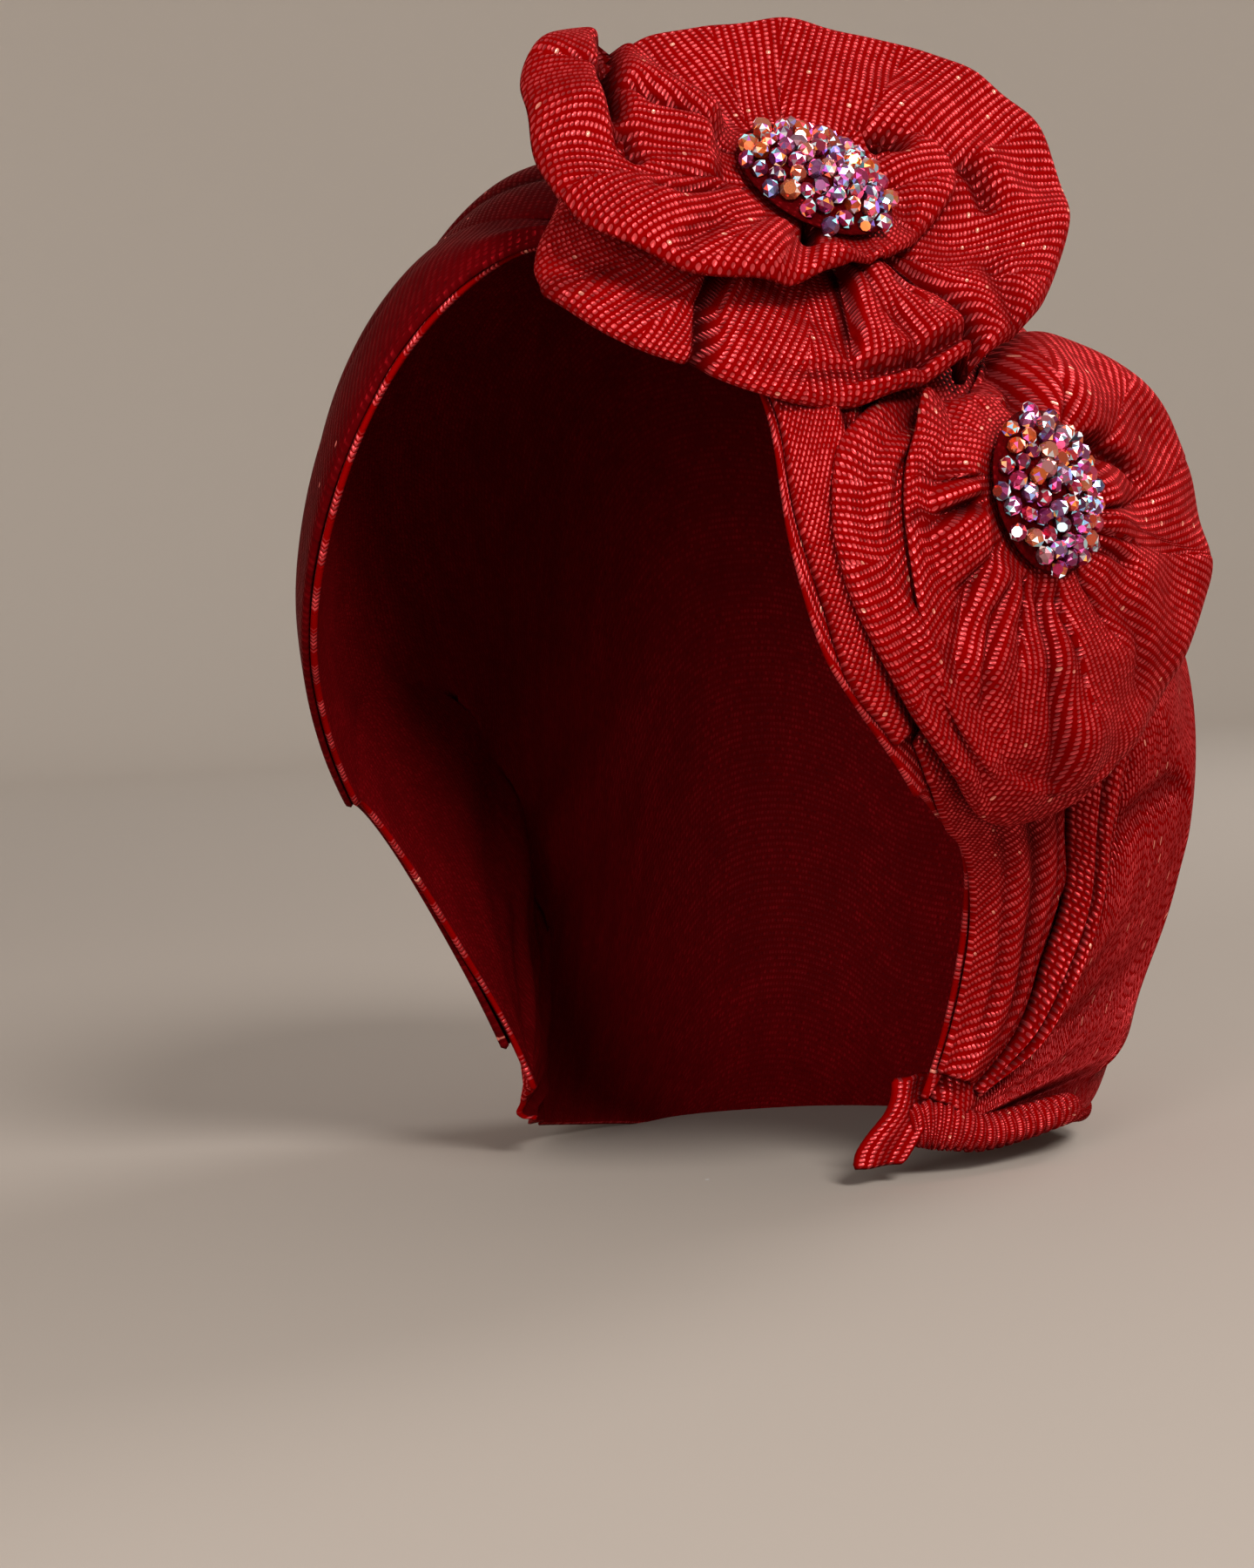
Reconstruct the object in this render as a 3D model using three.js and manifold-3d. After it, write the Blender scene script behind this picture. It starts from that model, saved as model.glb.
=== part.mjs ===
// A tied gele head tie: a turban cap with a gathered bag, folds over it, and two ruffled rosettes
// with a cluster of cut stones at the heart of each. Millimetres, +Z up, the face looks along -Y and
// the wearer's left is +X. The origin is where the inside of the crown sits on the top of the head.
import * as THREE from 'three'
import Module from 'manifold-3d'

const wasm = await Module()
wasm.setup()

const CLOTH_WALL = 1.4
const GAP = 0.6
const PIVOT = { y: 8, z: -203 }
const FOOT_HEIGHT = 8
const WIDEST_AT = 0.62
const ROUNDNESS = 2.08
const TUCK = 1.9

// The cap's arches, front to back. Each stands on the pivot line through the sides of the nape,
// tilted from upright. reach is its height, left and right its half widths, widest the height of
// those, and foot_left and foot_right its half widths at the nape.
const ARCHES = [
  { tilt: -42, reach: 151, left: 59, right: 55, widest: 78, foot_left: 40, foot_right: 40 },
  { tilt: -28, reach: 179, left: 67, right: 61.5, widest: 88, foot_left: 40, foot_right: 40 },
  { tilt: -14, reach: 196.5, left: 75, right: 70.5, widest: 96, foot_left: 40, foot_right: 40 },
  { tilt: 0, reach: 203, left: 79, right: 74, widest: 98, foot_left: 41, foot_right: 41 },
  { tilt: 18, reach: 197, left: 84, right: 76, widest: 96, foot_left: 42, foot_right: 42 },
  { tilt: 36, reach: 169, left: 87, right: 78, widest: 90, foot_left: 44, foot_right: 44 },
  { tilt: 54, reach: 138, left: 81, right: 76, widest: 74, foot_left: 46, foot_right: 46 },
  { tilt: 72, reach: 116, left: 73, right: 71, widest: 56, foot_left: 47, foot_right: 47 },
  { tilt: 88, reach: 98, left: 66, right: 64, widest: 38, foot_left: 47, foot_right: 47 },
  { tilt: 100, reach: 82, left: 58, right: 57, widest: 26, foot_left: 46, foot_right: 46 }
]

// The cap's front edge and nape hem: the tilt that each has at each share of the way round, from
// the right nape (-1) over the crown (0) to the left nape (1).
const EDGES = [
  { around: -1, front: 0, hem: 96 },
  { around: -0.85, front: -20, hem: 98 },
  { around: -0.62, front: -33, hem: 100 },
  { around: -0.45, front: -37, hem: 100 },
  { around: -0.3, front: -38.5, hem: 100 },
  { around: -0.2, front: -36.5, hem: 100 },
  { around: -0.1, front: -30.5, hem: 100 },
  { around: 0, front: -25.5, hem: 100 },
  { around: 0.12, front: -27, hem: 100 },
  { around: 0.3, front: -27, hem: 96 },
  { around: 0.375, front: -33, hem: 93 },
  { around: 0.46, front: -36, hem: 91 },
  { around: 0.6, front: -32, hem: 90 },
  { around: 0.73, front: -26, hem: 89 },
  { around: 0.84, front: -10, hem: 88 },
  { around: 1, front: 10, hem: 88 }
]

// Grooves that run along the cap from the nape gathers up round the bag.
const CAP_FOLDS = [
  { tilt: 36, depth: 4, width: 5, from: 0.45, to: 0.7 },
  { tilt: 52, depth: 5, width: 5, from: 0.5, to: 0.8 },
  { tilt: 66, depth: 4, width: 5, from: 0.55, to: 0.85 },
  { tilt: 82, depth: 4, width: 5, from: 0.3, to: 0.7 },
  { tilt: 40, depth: 3, width: 6, from: -0.55, to: -0.8 },
  { tilt: 58, depth: 3, width: 6, from: -0.5, to: -0.8 },
  { tilt: 76, depth: 3, width: 6, from: -0.4, to: -0.8 }
]

const COLUMNS_OF = (row, key) => Object.keys(row).filter((name) => name !== key)

const radians = THREE.MathUtils.degToRad
const lerp = THREE.MathUtils.lerp
const clamp = THREE.MathUtils.clamp

// Every column of a table at a place between its rows, on a smooth curve through them.
function sampleRows(rows, key, at) {
  const end = rows.length - 1
  const place = clamp(at, rows[0][key], rows[end][key])
  const next = clamp(rows.findIndex((row) => row[key] >= place), 1, end)
  const a = rows[next - 1]
  const b = rows[next]
  const before = rows[Math.max(next - 2, 0)]
  const after = rows[Math.min(next + 1, end)]
  const span = b[key] - a[key]
  const t = (place - a[key]) / span
  const sample = {}
  for (const name of COLUMNS_OF(a, key)) {
    const slopeA = (b[name] - before[name]) / (b[key] - before[key])
    const slopeB = (after[name] - a[name]) / (after[key] - a[key])
    const h = t * t * (3 - 2 * t)
    sample[name] = lerp(a[name], b[name], h) + span * t * (1 - t) * (slopeA * (1 - t) - slopeB * t)
  }
  return sample
}

// A table whose key is an angle, with its last rows repeated before the first and the other way.
function wrapRows(rows) {
  const turned = (row, by) => ({ ...row, angle: row.angle + by })
  const lead = rows.slice(-2).map((row) => turned(row, -360))
  const tail = rows.slice(0, 2).map((row) => turned(row, 360))
  return [...lead, ...rows, ...tail]
}

function smoothStep(from, to, at) {
  const t = clamp((at - from) / (to - from), 0, 1)
  return t * t * (3 - 2 * t)
}

// The half width and height of an arch at a share of the way from its crown to its foot.
function archPoint(arch, side, share) {
  const half = side > 0 ? arch.left : arch.right
  const foot = side > 0 ? arch.foot_left : arch.foot_right
  if (share <= WIDEST_AT) {
    const angle = (Math.PI / 2) * (share / WIDEST_AT)
    const power = 2 / ROUNDNESS
    const x = half * Math.sin(angle) ** power
    return { x, height: arch.widest + (arch.reach - arch.widest) * Math.max(Math.cos(angle), 0) ** power }
  }
  const lastCosine = (1 - FOOT_HEIGHT / arch.widest) ** (1 / TUCK)
  const lastAngle = Math.asin(lastCosine)
  const angle = lastAngle * ((share - WIDEST_AT) / (1 - WIDEST_AT))
  const x = foot + (half - foot) * Math.cos(angle) ** TUCK
  return { x, height: arch.widest * (1 - Math.sin(angle) ** TUCK) }
}

function bareCapPoint(tilt, around) {
  const arch = sampleRows(ARCHES, 'tilt', tilt)
  const { x, height } = archPoint(arch, around, Math.abs(around))
  const angle = radians(tilt)
  return new THREE.Vector3(
    Math.sign(around) * x,
    PIVOT.y + height * Math.sin(angle),
    PIVOT.z + height * Math.cos(angle)
  )
}

function capNormal(tilt, around) {
  const along = bareCapPoint(tilt + 1, around).sub(bareCapPoint(tilt - 1, around))
  const across = bareCapPoint(tilt, around + 0.01).sub(bareCapPoint(tilt, around - 0.01))
  return across.cross(along).normalize()
}

// A place on the cap, lifted off its inner face.
function capPoint(tilt, around, lift) {
  return bareCapPoint(tilt, around).addScaledVector(capNormal(tilt, around), lift)
}

function foldDepth(tilt, around) {
  let depth = 0
  for (const fold of CAP_FOLDS) {
    const grow = smoothStep(fold.from, fold.to, around)
    const fade = 1 - smoothStep(0.85, 1, Math.abs(around))
    depth += fold.depth * grow * fade * Math.exp(-(((tilt - fold.tilt) / fold.width) ** 2))
  }
  return depth
}

// Moves a point outward until it is at least lift above the cap's inner face.
function restOnCap(point, lift) {
  const dy = point.y - PIVOT.y
  const dz = point.z - PIVOT.z
  const height = Math.hypot(dy, dz)
  const arch = sampleRows(ARCHES, 'tilt', THREE.MathUtils.radToDeg(Math.atan2(dy, dz)))
  const half = point.x > 0 ? arch.left : arch.right
  const foot = point.x > 0 ? arch.foot_left : arch.foot_right
  const place = point.clone()
  if (height >= arch.widest) {
    const rise = height - arch.widest
    const fill = (
      (Math.abs(point.x) / half) ** ROUNDNESS + (rise / (arch.reach - arch.widest)) ** ROUNDNESS
    ) ** (1 / ROUNDNESS)
    const wanted = 1 + (lift * fill) / Math.hypot(point.x, rise)
    const scale = Math.max(wanted / fill, 1)
    place.x = point.x * scale
    const lifted = (arch.widest + rise * scale) / height
    place.y = PIVOT.y + dy * lifted
    place.z = PIVOT.z + dz * lifted
    return place
  }
  const sine = Math.max(1 - height / arch.widest, 0) ** (1 / TUCK)
  const wall = foot + (half - foot) * Math.sqrt(1 - sine * sine) ** TUCK
  place.x = Math.sign(point.x) * Math.max(Math.abs(point.x), wall + lift)
  return place
}

function geometryOf(points, triangles) {
  const geometry = new THREE.BufferGeometry()
  geometry.setAttribute('position', new THREE.Float32BufferAttribute(points.flatMap((p) => [p.x, p.y, p.z]), 3))
  geometry.setIndex(triangles.flat())
  geometry.computeVertexNormals()
  return geometry
}

// A closed sheet from two grids of points, its outer and its inner face, with walls round its edge.
function sheetGeometry(outer, inner) {
  const rows = outer.length
  const columns = outer[0].length
  const points = [...outer.flat(), ...inner.flat()]
  const under = rows * columns
  const at = (row, column) => row * columns + column
  const triangles = []
  const quad = (a, b, c, d) => triangles.push([a, b, c], [a, c, d])
  for (let row = 0; row < rows - 1; row += 1) {
    for (let column = 0; column < columns - 1; column += 1) {
      const [a, b, c, d] = [
        at(row, column), at(row, column + 1), at(row + 1, column + 1), at(row + 1, column)
      ]
      quad(a, b, c, d)
      quad(under + d, under + c, under + b, under + a)
    }
  }
  const wall = (a, b) => quad(a, under + a, under + b, b)
  for (let column = 0; column < columns - 1; column += 1) {
    wall(at(0, column), at(0, column + 1))
    wall(at(rows - 1, column + 1), at(rows - 1, column))
  }
  for (let row = 0; row < rows - 1; row += 1) {
    wall(at(row + 1, 0), at(row, 0))
    wall(at(row, columns - 1), at(row + 1, columns - 1))
  }
  return geometryOf(points, triangles)
}

// A closed round sheet from rings of points: top rings outward, the rim, bottom rings inward.
function discGeometry(heartTop, rings, heartBottom) {
  const sectors = rings[0].length
  const points = [heartTop, ...rings.flat(), heartBottom]
  const at = (ring, sector) => 1 + ring * sectors + (sector % sectors)
  const bottom = points.length - 1
  const triangles = []
  for (let sector = 0; sector < sectors; sector += 1) {
    triangles.push([0, at(0, sector), at(0, sector + 1)])
    for (let ring = 0; ring < rings.length - 1; ring += 1) {
      const [a, b] = [at(ring, sector), at(ring, sector + 1)]
      const [c, d] = [at(ring + 1, sector + 1), at(ring + 1, sector)]
      triangles.push([a, d, c], [a, c, b])
    }
    triangles.push([bottom, at(rings.length - 1, sector + 1), at(rings.length - 1, sector)])
  }
  return geometryOf(points, triangles)
}

const CAP_ROWS = 20
const CAP_COLUMNS = 30

function crownCap() {
  const outer = []
  const inner = []
  for (let row = 0; row < CAP_ROWS; row += 1) {
    const outerRow = []
    const innerRow = []
    for (let column = 0; column < CAP_COLUMNS; column += 1) {
      const around = lerp(-1, 1, column / (CAP_COLUMNS - 1))
      const edge = sampleRows(EDGES, 'around', around)
      const tilt = lerp(edge.front, edge.hem, row / (CAP_ROWS - 1))
      const dent = foldDepth(tilt, around)
      outerRow.push(capPoint(tilt, around, CLOTH_WALL - dent))
      innerRow.push(capPoint(tilt, around, -dent))
    }
    outer.push(outerRow)
    inner.push(innerRow)
  }
  return sheetGeometry(outer, inner)
}

// Strips of cloth laid on the cap. Each row is a cross section: how far round it is, the tilts of
// its front and back edge, its lift off the cap, and how far its middle bulges.
const STRIPS = {
  front_band: [
    { around: -0.25, front: -38, back: -29, lift: 0, bulge: 0.2 },
    { around: -0.2, front: -36.5, back: -26, lift: 0, bulge: 0.2 },
    { around: -0.1, front: -30.5, back: -20, lift: 0, bulge: 0.2 },
    { around: 0, front: -25.5, back: -15, lift: 0, bulge: 0.2 },
    { around: 0.12, front: -27, back: -17, lift: 0, bulge: 0.2 },
    { around: 0.22, front: -27, back: -18, lift: 0, bulge: 0.2 }
  ],
  band_fold: [
    { around: -0.95, front: -12, back: 4, lift: 0, bulge: 0.4 },
    { around: -0.62, front: -33, back: -18, lift: 0, bulge: 0.4 },
    { around: -0.42, front: -37.5, back: -22, lift: 0, bulge: 0.4 },
    { around: -0.32, front: -38, back: -21, lift: 2.2, bulge: 0.4 },
    { around: -0.22, front: -36.5, back: -20, lift: 2.7, bulge: 0.4 },
    { around: -0.12, front: -27, back: -12, lift: 2.6, bulge: 0.4 },
    { around: -0.03, front: -22.5, back: -8, lift: 2.5, bulge: 0.4 },
    { around: 0.04, front: -20, back: -6, lift: 2.4, bulge: 0.3 }
  ],
  temple_fold: [
    { around: 0.25, front: -26, back: -16, lift: 0, bulge: 0.4 },
    { around: 0.31, front: -26, back: -17, lift: 0, bulge: 0.6 },
    { around: 0.36, front: -30, back: -19, lift: 0, bulge: 2 },
    { around: 0.42, front: -33, back: -23, lift: 0, bulge: 2.2 },
    { around: 0.48, front: -34.5, back: -27, lift: 0, bulge: 1.2 },
    { around: 0.56, front: -33, back: -28, lift: 0, bulge: 0.4 }
  ],
  cheek_panel: [
    { around: 0.58, front: -30, back: 0, lift: 0, bulge: 1 },
    { around: 0.68, front: -28.5, back: 0, lift: 0, bulge: 1.6 },
    { around: 0.75, front: -25, back: 1, lift: 0, bulge: 3 },
    { around: 0.82, front: -15, back: 4, lift: 0, bulge: 3 },
    { around: 0.88, front: -2, back: 8, lift: 0, bulge: 3 },
    { around: 0.97, front: 10, back: 22, lift: 0, bulge: 2 }
  ],
  side_pleat: [
    { around: 0.58, front: 3, back: 12, lift: 0, bulge: 4 },
    { around: 0.72, front: 3, back: 15, lift: 0, bulge: 7 },
    { around: 0.78, front: 5, back: 22, lift: 0, bulge: 8 },
    { around: 0.83, front: 8, back: 30, lift: 0, bulge: 7 },
    { around: 0.89, front: 13, back: 32, lift: 0, bulge: 5 },
    { around: 0.97, front: 26, back: 40, lift: 0, bulge: 2 }
  ]
}

const STRIP_STEP = 0.045
const STRIP_WIDTH_STEPS = 4

function stripGeometry(rows) {
  const outer = []
  const inner = []
  const first = rows[0].around
  const last = rows[rows.length - 1].around
  const steps = Math.ceil((last - first) / STRIP_STEP) + 2
  for (let across = 0; across <= STRIP_WIDTH_STEPS; across += 1) {
    const share = across / STRIP_WIDTH_STEPS
    const outerRow = []
    const innerRow = []
    for (let step = 0; step <= steps; step += 1) {
      const around = lerp(first, last, step / steps)
      const section = sampleRows(rows, 'around', around)
      const tilt = lerp(section.front, section.back, share)
      const lift = CLOTH_WALL + GAP + section.lift + section.bulge * Math.sin(Math.PI * share)
      outerRow.push(capPoint(tilt, around, lift + CLOTH_WALL))
      innerRow.push(capPoint(tilt, around, lift))
    }
    outer.push(outerRow)
    inner.push(innerRow)
  }
  return sheetGeometry(outer, inner)
}

// Rolls of gathered cloth at the nape. Each row is a cross section: its place on the cap, its lift
// off it, and its half width and half thickness.
const ROLLS = {
  nape_roll: [
    { around: 0.36, tilt: 99, lift: 2, wide: 3.5, thick: 3.5 },
    { around: 0.5, tilt: 101, lift: 3, wide: 5.5, thick: 5 },
    { around: 0.7, tilt: 107, lift: 4, wide: 7, thick: 6 },
    { around: 0.88, tilt: 115, lift: 4, wide: 6, thick: 5 },
    { around: 0.99, tilt: 122, lift: 2, wide: 2.5, thick: 2.5 }
  ]
}
const ROLL_STEPS = 16
const ROLL_SIDES = 10
const ROLL_GATHERS = 7
const ROLL_GATHER_DEPTH = 0.7

function rollGeometry(rows) {
  const first = rows[0].around
  const last = rows[rows.length - 1].around
  const rings = Array.from({ length: ROLL_STEPS + 1 }, (_, step) => {
    const around = lerp(first, last, step / ROLL_STEPS)
    const section = sampleRows(rows, 'around', around)
    const centre = capPoint(section.tilt, around, section.lift)
    const out = capNormal(section.tilt, around)
    const down = bareCapPoint(section.tilt + 1, around).sub(bareCapPoint(section.tilt - 1, around)).normalize()
    const gather = 1 + ROLL_GATHER_DEPTH * 0.15 * Math.cos((2 * Math.PI * ROLL_GATHERS * step) / ROLL_STEPS)
    return Array.from({ length: ROLL_SIDES }, (_, side) => {
      const angle = (2 * Math.PI * side) / ROLL_SIDES
      return centre.clone()
        .addScaledVector(down, section.wide * gather * Math.cos(angle))
        .addScaledVector(out, section.thick * gather * Math.sin(angle))
    })
  })
  const middle = (ring) => ring.reduce((sum, p) => sum.add(p), new THREE.Vector3()).divideScalar(ring.length)
  rings.reverse()
  return discGeometry(middle(rings[0]), rings, middle(rings[ROLL_STEPS]))
}

// The short end of cloth at the nape, row by row downward: the height of the row and the places of
// its front and back edge, across and deep.
const TAIL_ROWS = [
  { z: -199, front_x: 40, front_y: 3, back_x: 44, back_y: 8 },
  { z: -204, front_x: 37.5, front_y: 0, back_x: 44.5, back_y: 7 },
  { z: -208, front_x: 35.5, front_y: -2, back_x: 44, back_y: 6 },
  { z: -211.5, front_x: 35, front_y: -3, back_x: 42.5, back_y: 4 }
]
const TAIL_STEPS = 4
const TAIL_WAVE = 0.7

function tailGeometry() {
  const face = (out) => TAIL_ROWS.map(({ z, front_x, front_y, back_x, back_y }) => Array.from(
    { length: TAIL_STEPS + 1 },
    (_, step) => {
      const share = step / TAIL_STEPS
      const off = out + TAIL_WAVE * Math.sin(2 * Math.PI * share)
      const across = new THREE.Vector3(back_x - front_x, back_y - front_y, 0).normalize()
      return new THREE.Vector3(
        lerp(front_x, back_x, share) + off * across.y,
        lerp(front_y, back_y, share) - off * across.x,
        z
      )
    }
  )).reverse()
  return sheetGeometry(face(CLOTH_WALL), face(0))
}

// A rosette's own axes: its heart, the way its face looks, and the way that its angle 0 points.
function rosetteFrame(heart, face, zero) {
  const normal = new THREE.Vector3(...face).normalize()
  const u = new THREE.Vector3(...zero)
  u.addScaledVector(normal, -u.dot(normal)).normalize()
  const v = normal.clone().cross(u)
  return { heart: new THREE.Vector3(...heart), u, v, normal }
}

function framePoint(frame, angle, radius, height) {
  return frame.heart.clone()
    .addScaledVector(frame.u, radius * Math.cos(radians(angle)))
    .addScaledVector(frame.v, radius * Math.sin(radians(angle)))
    .addScaledVector(frame.normal, height)
}

const ANGLE_ZERO = [0.891, 0.451, -0.052]
const TOP_FRAME = rosetteFrame([40, -31, -25], [0.65, -0.36, 0.67], ANGLE_ZERO)
const SIDE_FRAME = rosetteFrame([71, -16, -77], [0.945, -0.285, 0.15], ANGLE_ZERO)

// Ruffles: for each angle round the heart, the radius of the rim, the height of the rim and the
// height of the cloth half way out. Creases run outward along an angle; lean turns them as they go.
const RUFFLES = {
  top_rosette_outer_ruffle: {
    frame: TOP_FRAME,
    heart: 8,
    seat: 11,
    sections: [
      { angle: 0, radius: 52, edge: 13, belly: 12, lift: 4.2, wall: 3.6 },
      { angle: 24, radius: 56, edge: 22, belly: 16, lift: 4.2, wall: 3.6 },
      { angle: 40, radius: 54, edge: 25, belly: 18, lift: 4.2, wall: 3.6 },
      { angle: 56, radius: 49, edge: 26, belly: 18, lift: 4.2, wall: 3.6 },
      { angle: 75, radius: 47, edge: 24, belly: 16, lift: 4.2, wall: 3.6 },
      { angle: 105, radius: 42, edge: 20, belly: 12, lift: 4.2, wall: 3.6 },
      { angle: 150, radius: 48, edge: 2, belly: 8, lift: 4.2, wall: 3.6 },
      { angle: 180, radius: 50, edge: -4, belly: 6, lift: 4.2, wall: 3.6 },
      { angle: 203, radius: 53, edge: -5, belly: 6, lift: 4.2, wall: 3.6 },
      { angle: 227, radius: 51, edge: -3, belly: 7, lift: 4.2, wall: 3.6 },
      { angle: 252, radius: 47, edge: -1, belly: 8, lift: 4.2, wall: 3.6 },
      { angle: 279, radius: 46, edge: 0, belly: 8, lift: 4.2, wall: 3.6 },
      { angle: 305, radius: 44, edge: 5, belly: 10, lift: 4.2, wall: 3.6 },
      { angle: 335, radius: 47, edge: 9, belly: 11, lift: 4.2, wall: 3.6 }
    ],
    creases: [
      { angle: 248, depth: 4, width: 7, from: 0.4, to: 0.7, lean: 0 },
      { angle: 330, depth: 5, width: 8, from: 0.3, to: 0.6, lean: 6 },
      { angle: 208, depth: 3, width: 9, from: 0.5, to: 0.8, lean: 0 }
    ]
  },
  top_rosette_inner_ruffle: {
    frame: TOP_FRAME,
    heart: 14,
    seat: 16,
    over: 'top_rosette_outer_ruffle',
    sections: [
      { angle: 0, radius: 20, edge: 17, belly: 19, lift: 8.4, wall: 3.6 },
      { angle: 25, radius: 32, edge: 18, belly: 24, lift: 8.4, wall: 3.6 },
      { angle: 45, radius: 34, edge: 26, belly: 22, lift: 8.4, wall: 3.6 },
      { angle: 70, radius: 42, edge: 27, belly: 22, lift: 8.4, wall: 3.6 },
      { angle: 100, radius: 41, edge: 25, belly: 20, lift: 8.4, wall: 3.6 },
      { angle: 130, radius: 44, edge: 20, belly: 18, lift: 8.4, wall: 3.6 },
      { angle: 147, radius: 49, edge: 15, belly: 19, lift: 8.4, wall: 3.6 },
      { angle: 160, radius: 59, edge: 10, belly: 22, lift: 8.4, wall: 3.6 },
      { angle: 182, radius: 55, edge: 10, belly: 21, lift: 8.4, wall: 3.6 },
      { angle: 209, radius: 54, edge: 10, belly: 20, lift: 8.4, wall: 3.6 },
      { angle: 233, radius: 49, edge: 11, belly: 20, lift: 8.4, wall: 3.6 },
      { angle: 258, radius: 36, edge: 15, belly: 20, lift: 8.4, wall: 3.6 },
      { angle: 275, radius: 27, edge: 17, belly: 20, lift: 8.4, wall: 3.6 },
      { angle: 297, radius: 21, edge: 18, belly: 19, lift: 8.4, wall: 3.6 },
      { angle: 330, radius: 19, edge: 18, belly: 18, lift: 8.4, wall: 3.6 }
    ],
    creases: [
      { angle: 146, depth: 6, width: 7, from: 0.3, to: 0.7, lean: 4 },
      { angle: 190, depth: 3, width: 7, from: 0.25, to: 0.5, lean: 0 },
      { angle: 262, depth: 3, width: 7, from: 0.3, to: 0.7, lean: 0 }
    ]
  },
  side_rosette_outer_ruffle: {
    frame: SIDE_FRAME,
    heart: 8,
    seat: 12,
    sections: [
      { angle: 0, radius: 58, edge: 10, belly: 11, lift: 5.2, wall: 3.8 },
      { angle: 30, radius: 55, edge: 8, belly: 11, lift: 5.2, wall: 3.8 },
      { angle: 55, radius: 48, edge: 4, belly: 9, lift: 0.6, wall: 2.2 },
      { angle: 85, radius: 34, edge: -4, belly: 4, lift: 0.6, wall: 2.2 },
      { angle: 120, radius: 30, edge: -4, belly: 4, lift: 0.6, wall: 2.2 },
      { angle: 150, radius: 29, edge: 0, belly: 7, lift: 2, wall: 2.4 },
      { angle: 183, radius: 43, edge: 4, belly: 10, lift: 5.2, wall: 3.8 },
      { angle: 209, radius: 47.5, edge: 3, belly: 11, lift: 5.2, wall: 3.8 },
      { angle: 239, radius: 50, edge: 1, belly: 11, lift: 5.2, wall: 3.8 },
      { angle: 265, radius: 55, edge: -2, belly: 10, lift: 5.2, wall: 3.8 },
      { angle: 288, radius: 61, edge: -4, belly: 9, lift: 5.2, wall: 3.8 },
      { angle: 305, radius: 62, edge: 0, belly: 9, lift: 5.2, wall: 3.8 },
      { angle: 330, radius: 58, edge: 6, belly: 10, lift: 5.2, wall: 3.8 }
    ],
    creases: [
      { angle: 205, depth: 2.5, width: 10, from: 0.3, to: 0.6, lean: 0 }
    ]
  },
  side_rosette_inner_ruffle: {
    frame: SIDE_FRAME,
    heart: 15,
    seat: 17,
    over: 'side_rosette_outer_ruffle',
    sections: [
      { angle: 0, radius: 62, edge: 15, belly: 18, lift: 9.6, wall: 3.6 },
      { angle: 20, radius: 59, edge: 15, belly: 18, lift: 9.6, wall: 3.6 },
      { angle: 34, radius: 55, edge: 15, belly: 18, lift: 9.6, wall: 3.6 },
      { angle: 50, radius: 51, edge: 11, belly: 17, lift: 9.6, wall: 3.6 },
      { angle: 68, radius: 44, edge: 7, belly: 16, lift: 3.4, wall: 2.2 },
      { angle: 90, radius: 26, edge: 9, belly: 15, lift: 3.4, wall: 2.2 },
      { angle: 120, radius: 22, edge: 12, belly: 15, lift: 3.4, wall: 2.2 },
      { angle: 160, radius: 30, edge: 13, belly: 17, lift: 9.6, wall: 3.6 },
      { angle: 200, radius: 32, edge: 13, belly: 18, lift: 9.6, wall: 3.6 },
      { angle: 240, radius: 38, edge: 12, belly: 18, lift: 9.6, wall: 3.6 },
      { angle: 270, radius: 46, edge: 10, belly: 17, lift: 9.6, wall: 3.6 },
      { angle: 300, radius: 56, edge: 6, belly: 16, lift: 9.6, wall: 3.6 },
      { angle: 320, radius: 59, edge: 8, belly: 17, lift: 9.6, wall: 3.6 },
      { angle: 343, radius: 60, edge: 11, belly: 18, lift: 9.6, wall: 3.6 }
    ],
    creases: [
      { angle: 295, depth: 2.5, width: 7, from: 0.3, to: 0.6, lean: 0 },
      { angle: 78, depth: 3, width: 8, from: 0.3, to: 0.6, lean: 0 }
    ]
  }
}

const BELLY_AT = 0.55
const SEAT_RADIUS = 18.6
const SECTORS = 42
const TOP_RINGS = [0, 0.38, 0.7, 0.92]
const BOTTOM_RINGS = [0.92, 0.5, 0]

for (const ruffle of Object.values(RUFFLES)) {
  ruffle.wrapped = wrapRows(ruffle.sections)
}

function ruffleHeight(ruffle, section, angle, share) {
  const heart = ruffle.heart * ((BELLY_AT - share) * (1 - share)) / BELLY_AT
  const belly = section.belly * (share * (1 - share)) / (BELLY_AT * (1 - BELLY_AT))
  const edge = section.edge * (share * (share - BELLY_AT)) / (1 - BELLY_AT)
  let height = heart + belly + edge
  for (const crease of ruffle.creases) {
    const off = ((angle - crease.angle - crease.lean * share + 900) % 360) - 180
    const reach = smoothStep(crease.from, crease.to, share)
    height -= crease.depth * reach * Math.exp(-((off / crease.width) ** 2))
  }
  if (ruffle.seat === undefined) return height
  const clear = smoothStep(SEAT_RADIUS, SEAT_RADIUS + 5, section.radius * share)
  return lerp(Math.min(height, ruffle.seat), height, clear)
}

// The height of a ruffle's top face over its rosette's base, and its cross section there.
function ruffleTop(ruffle, angle, radius) {
  const section = sampleRows(ruffle.wrapped, 'angle', angle)
  return { section, height: ruffleHeight(ruffle, section, angle, radius / section.radius) }
}

function rufflePoint(ruffle, angle, radius, below) {
  const { section, height } = ruffleTop(ruffle, angle, radius)
  const under = ruffle.over && ruffleTop(RUFFLES[ruffle.over], angle, radius)
  const covers = under && radius < under.section.radius + 2
  const lowest = covers ? under.height + GAP + section.wall : -Infinity
  const point = framePoint(ruffle.frame, angle, radius, Math.max(height, lowest) - below * section.wall)
  return restOnCap(point, CLOTH_WALL + section.lift + section.wall * (1 - below))
}

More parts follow.
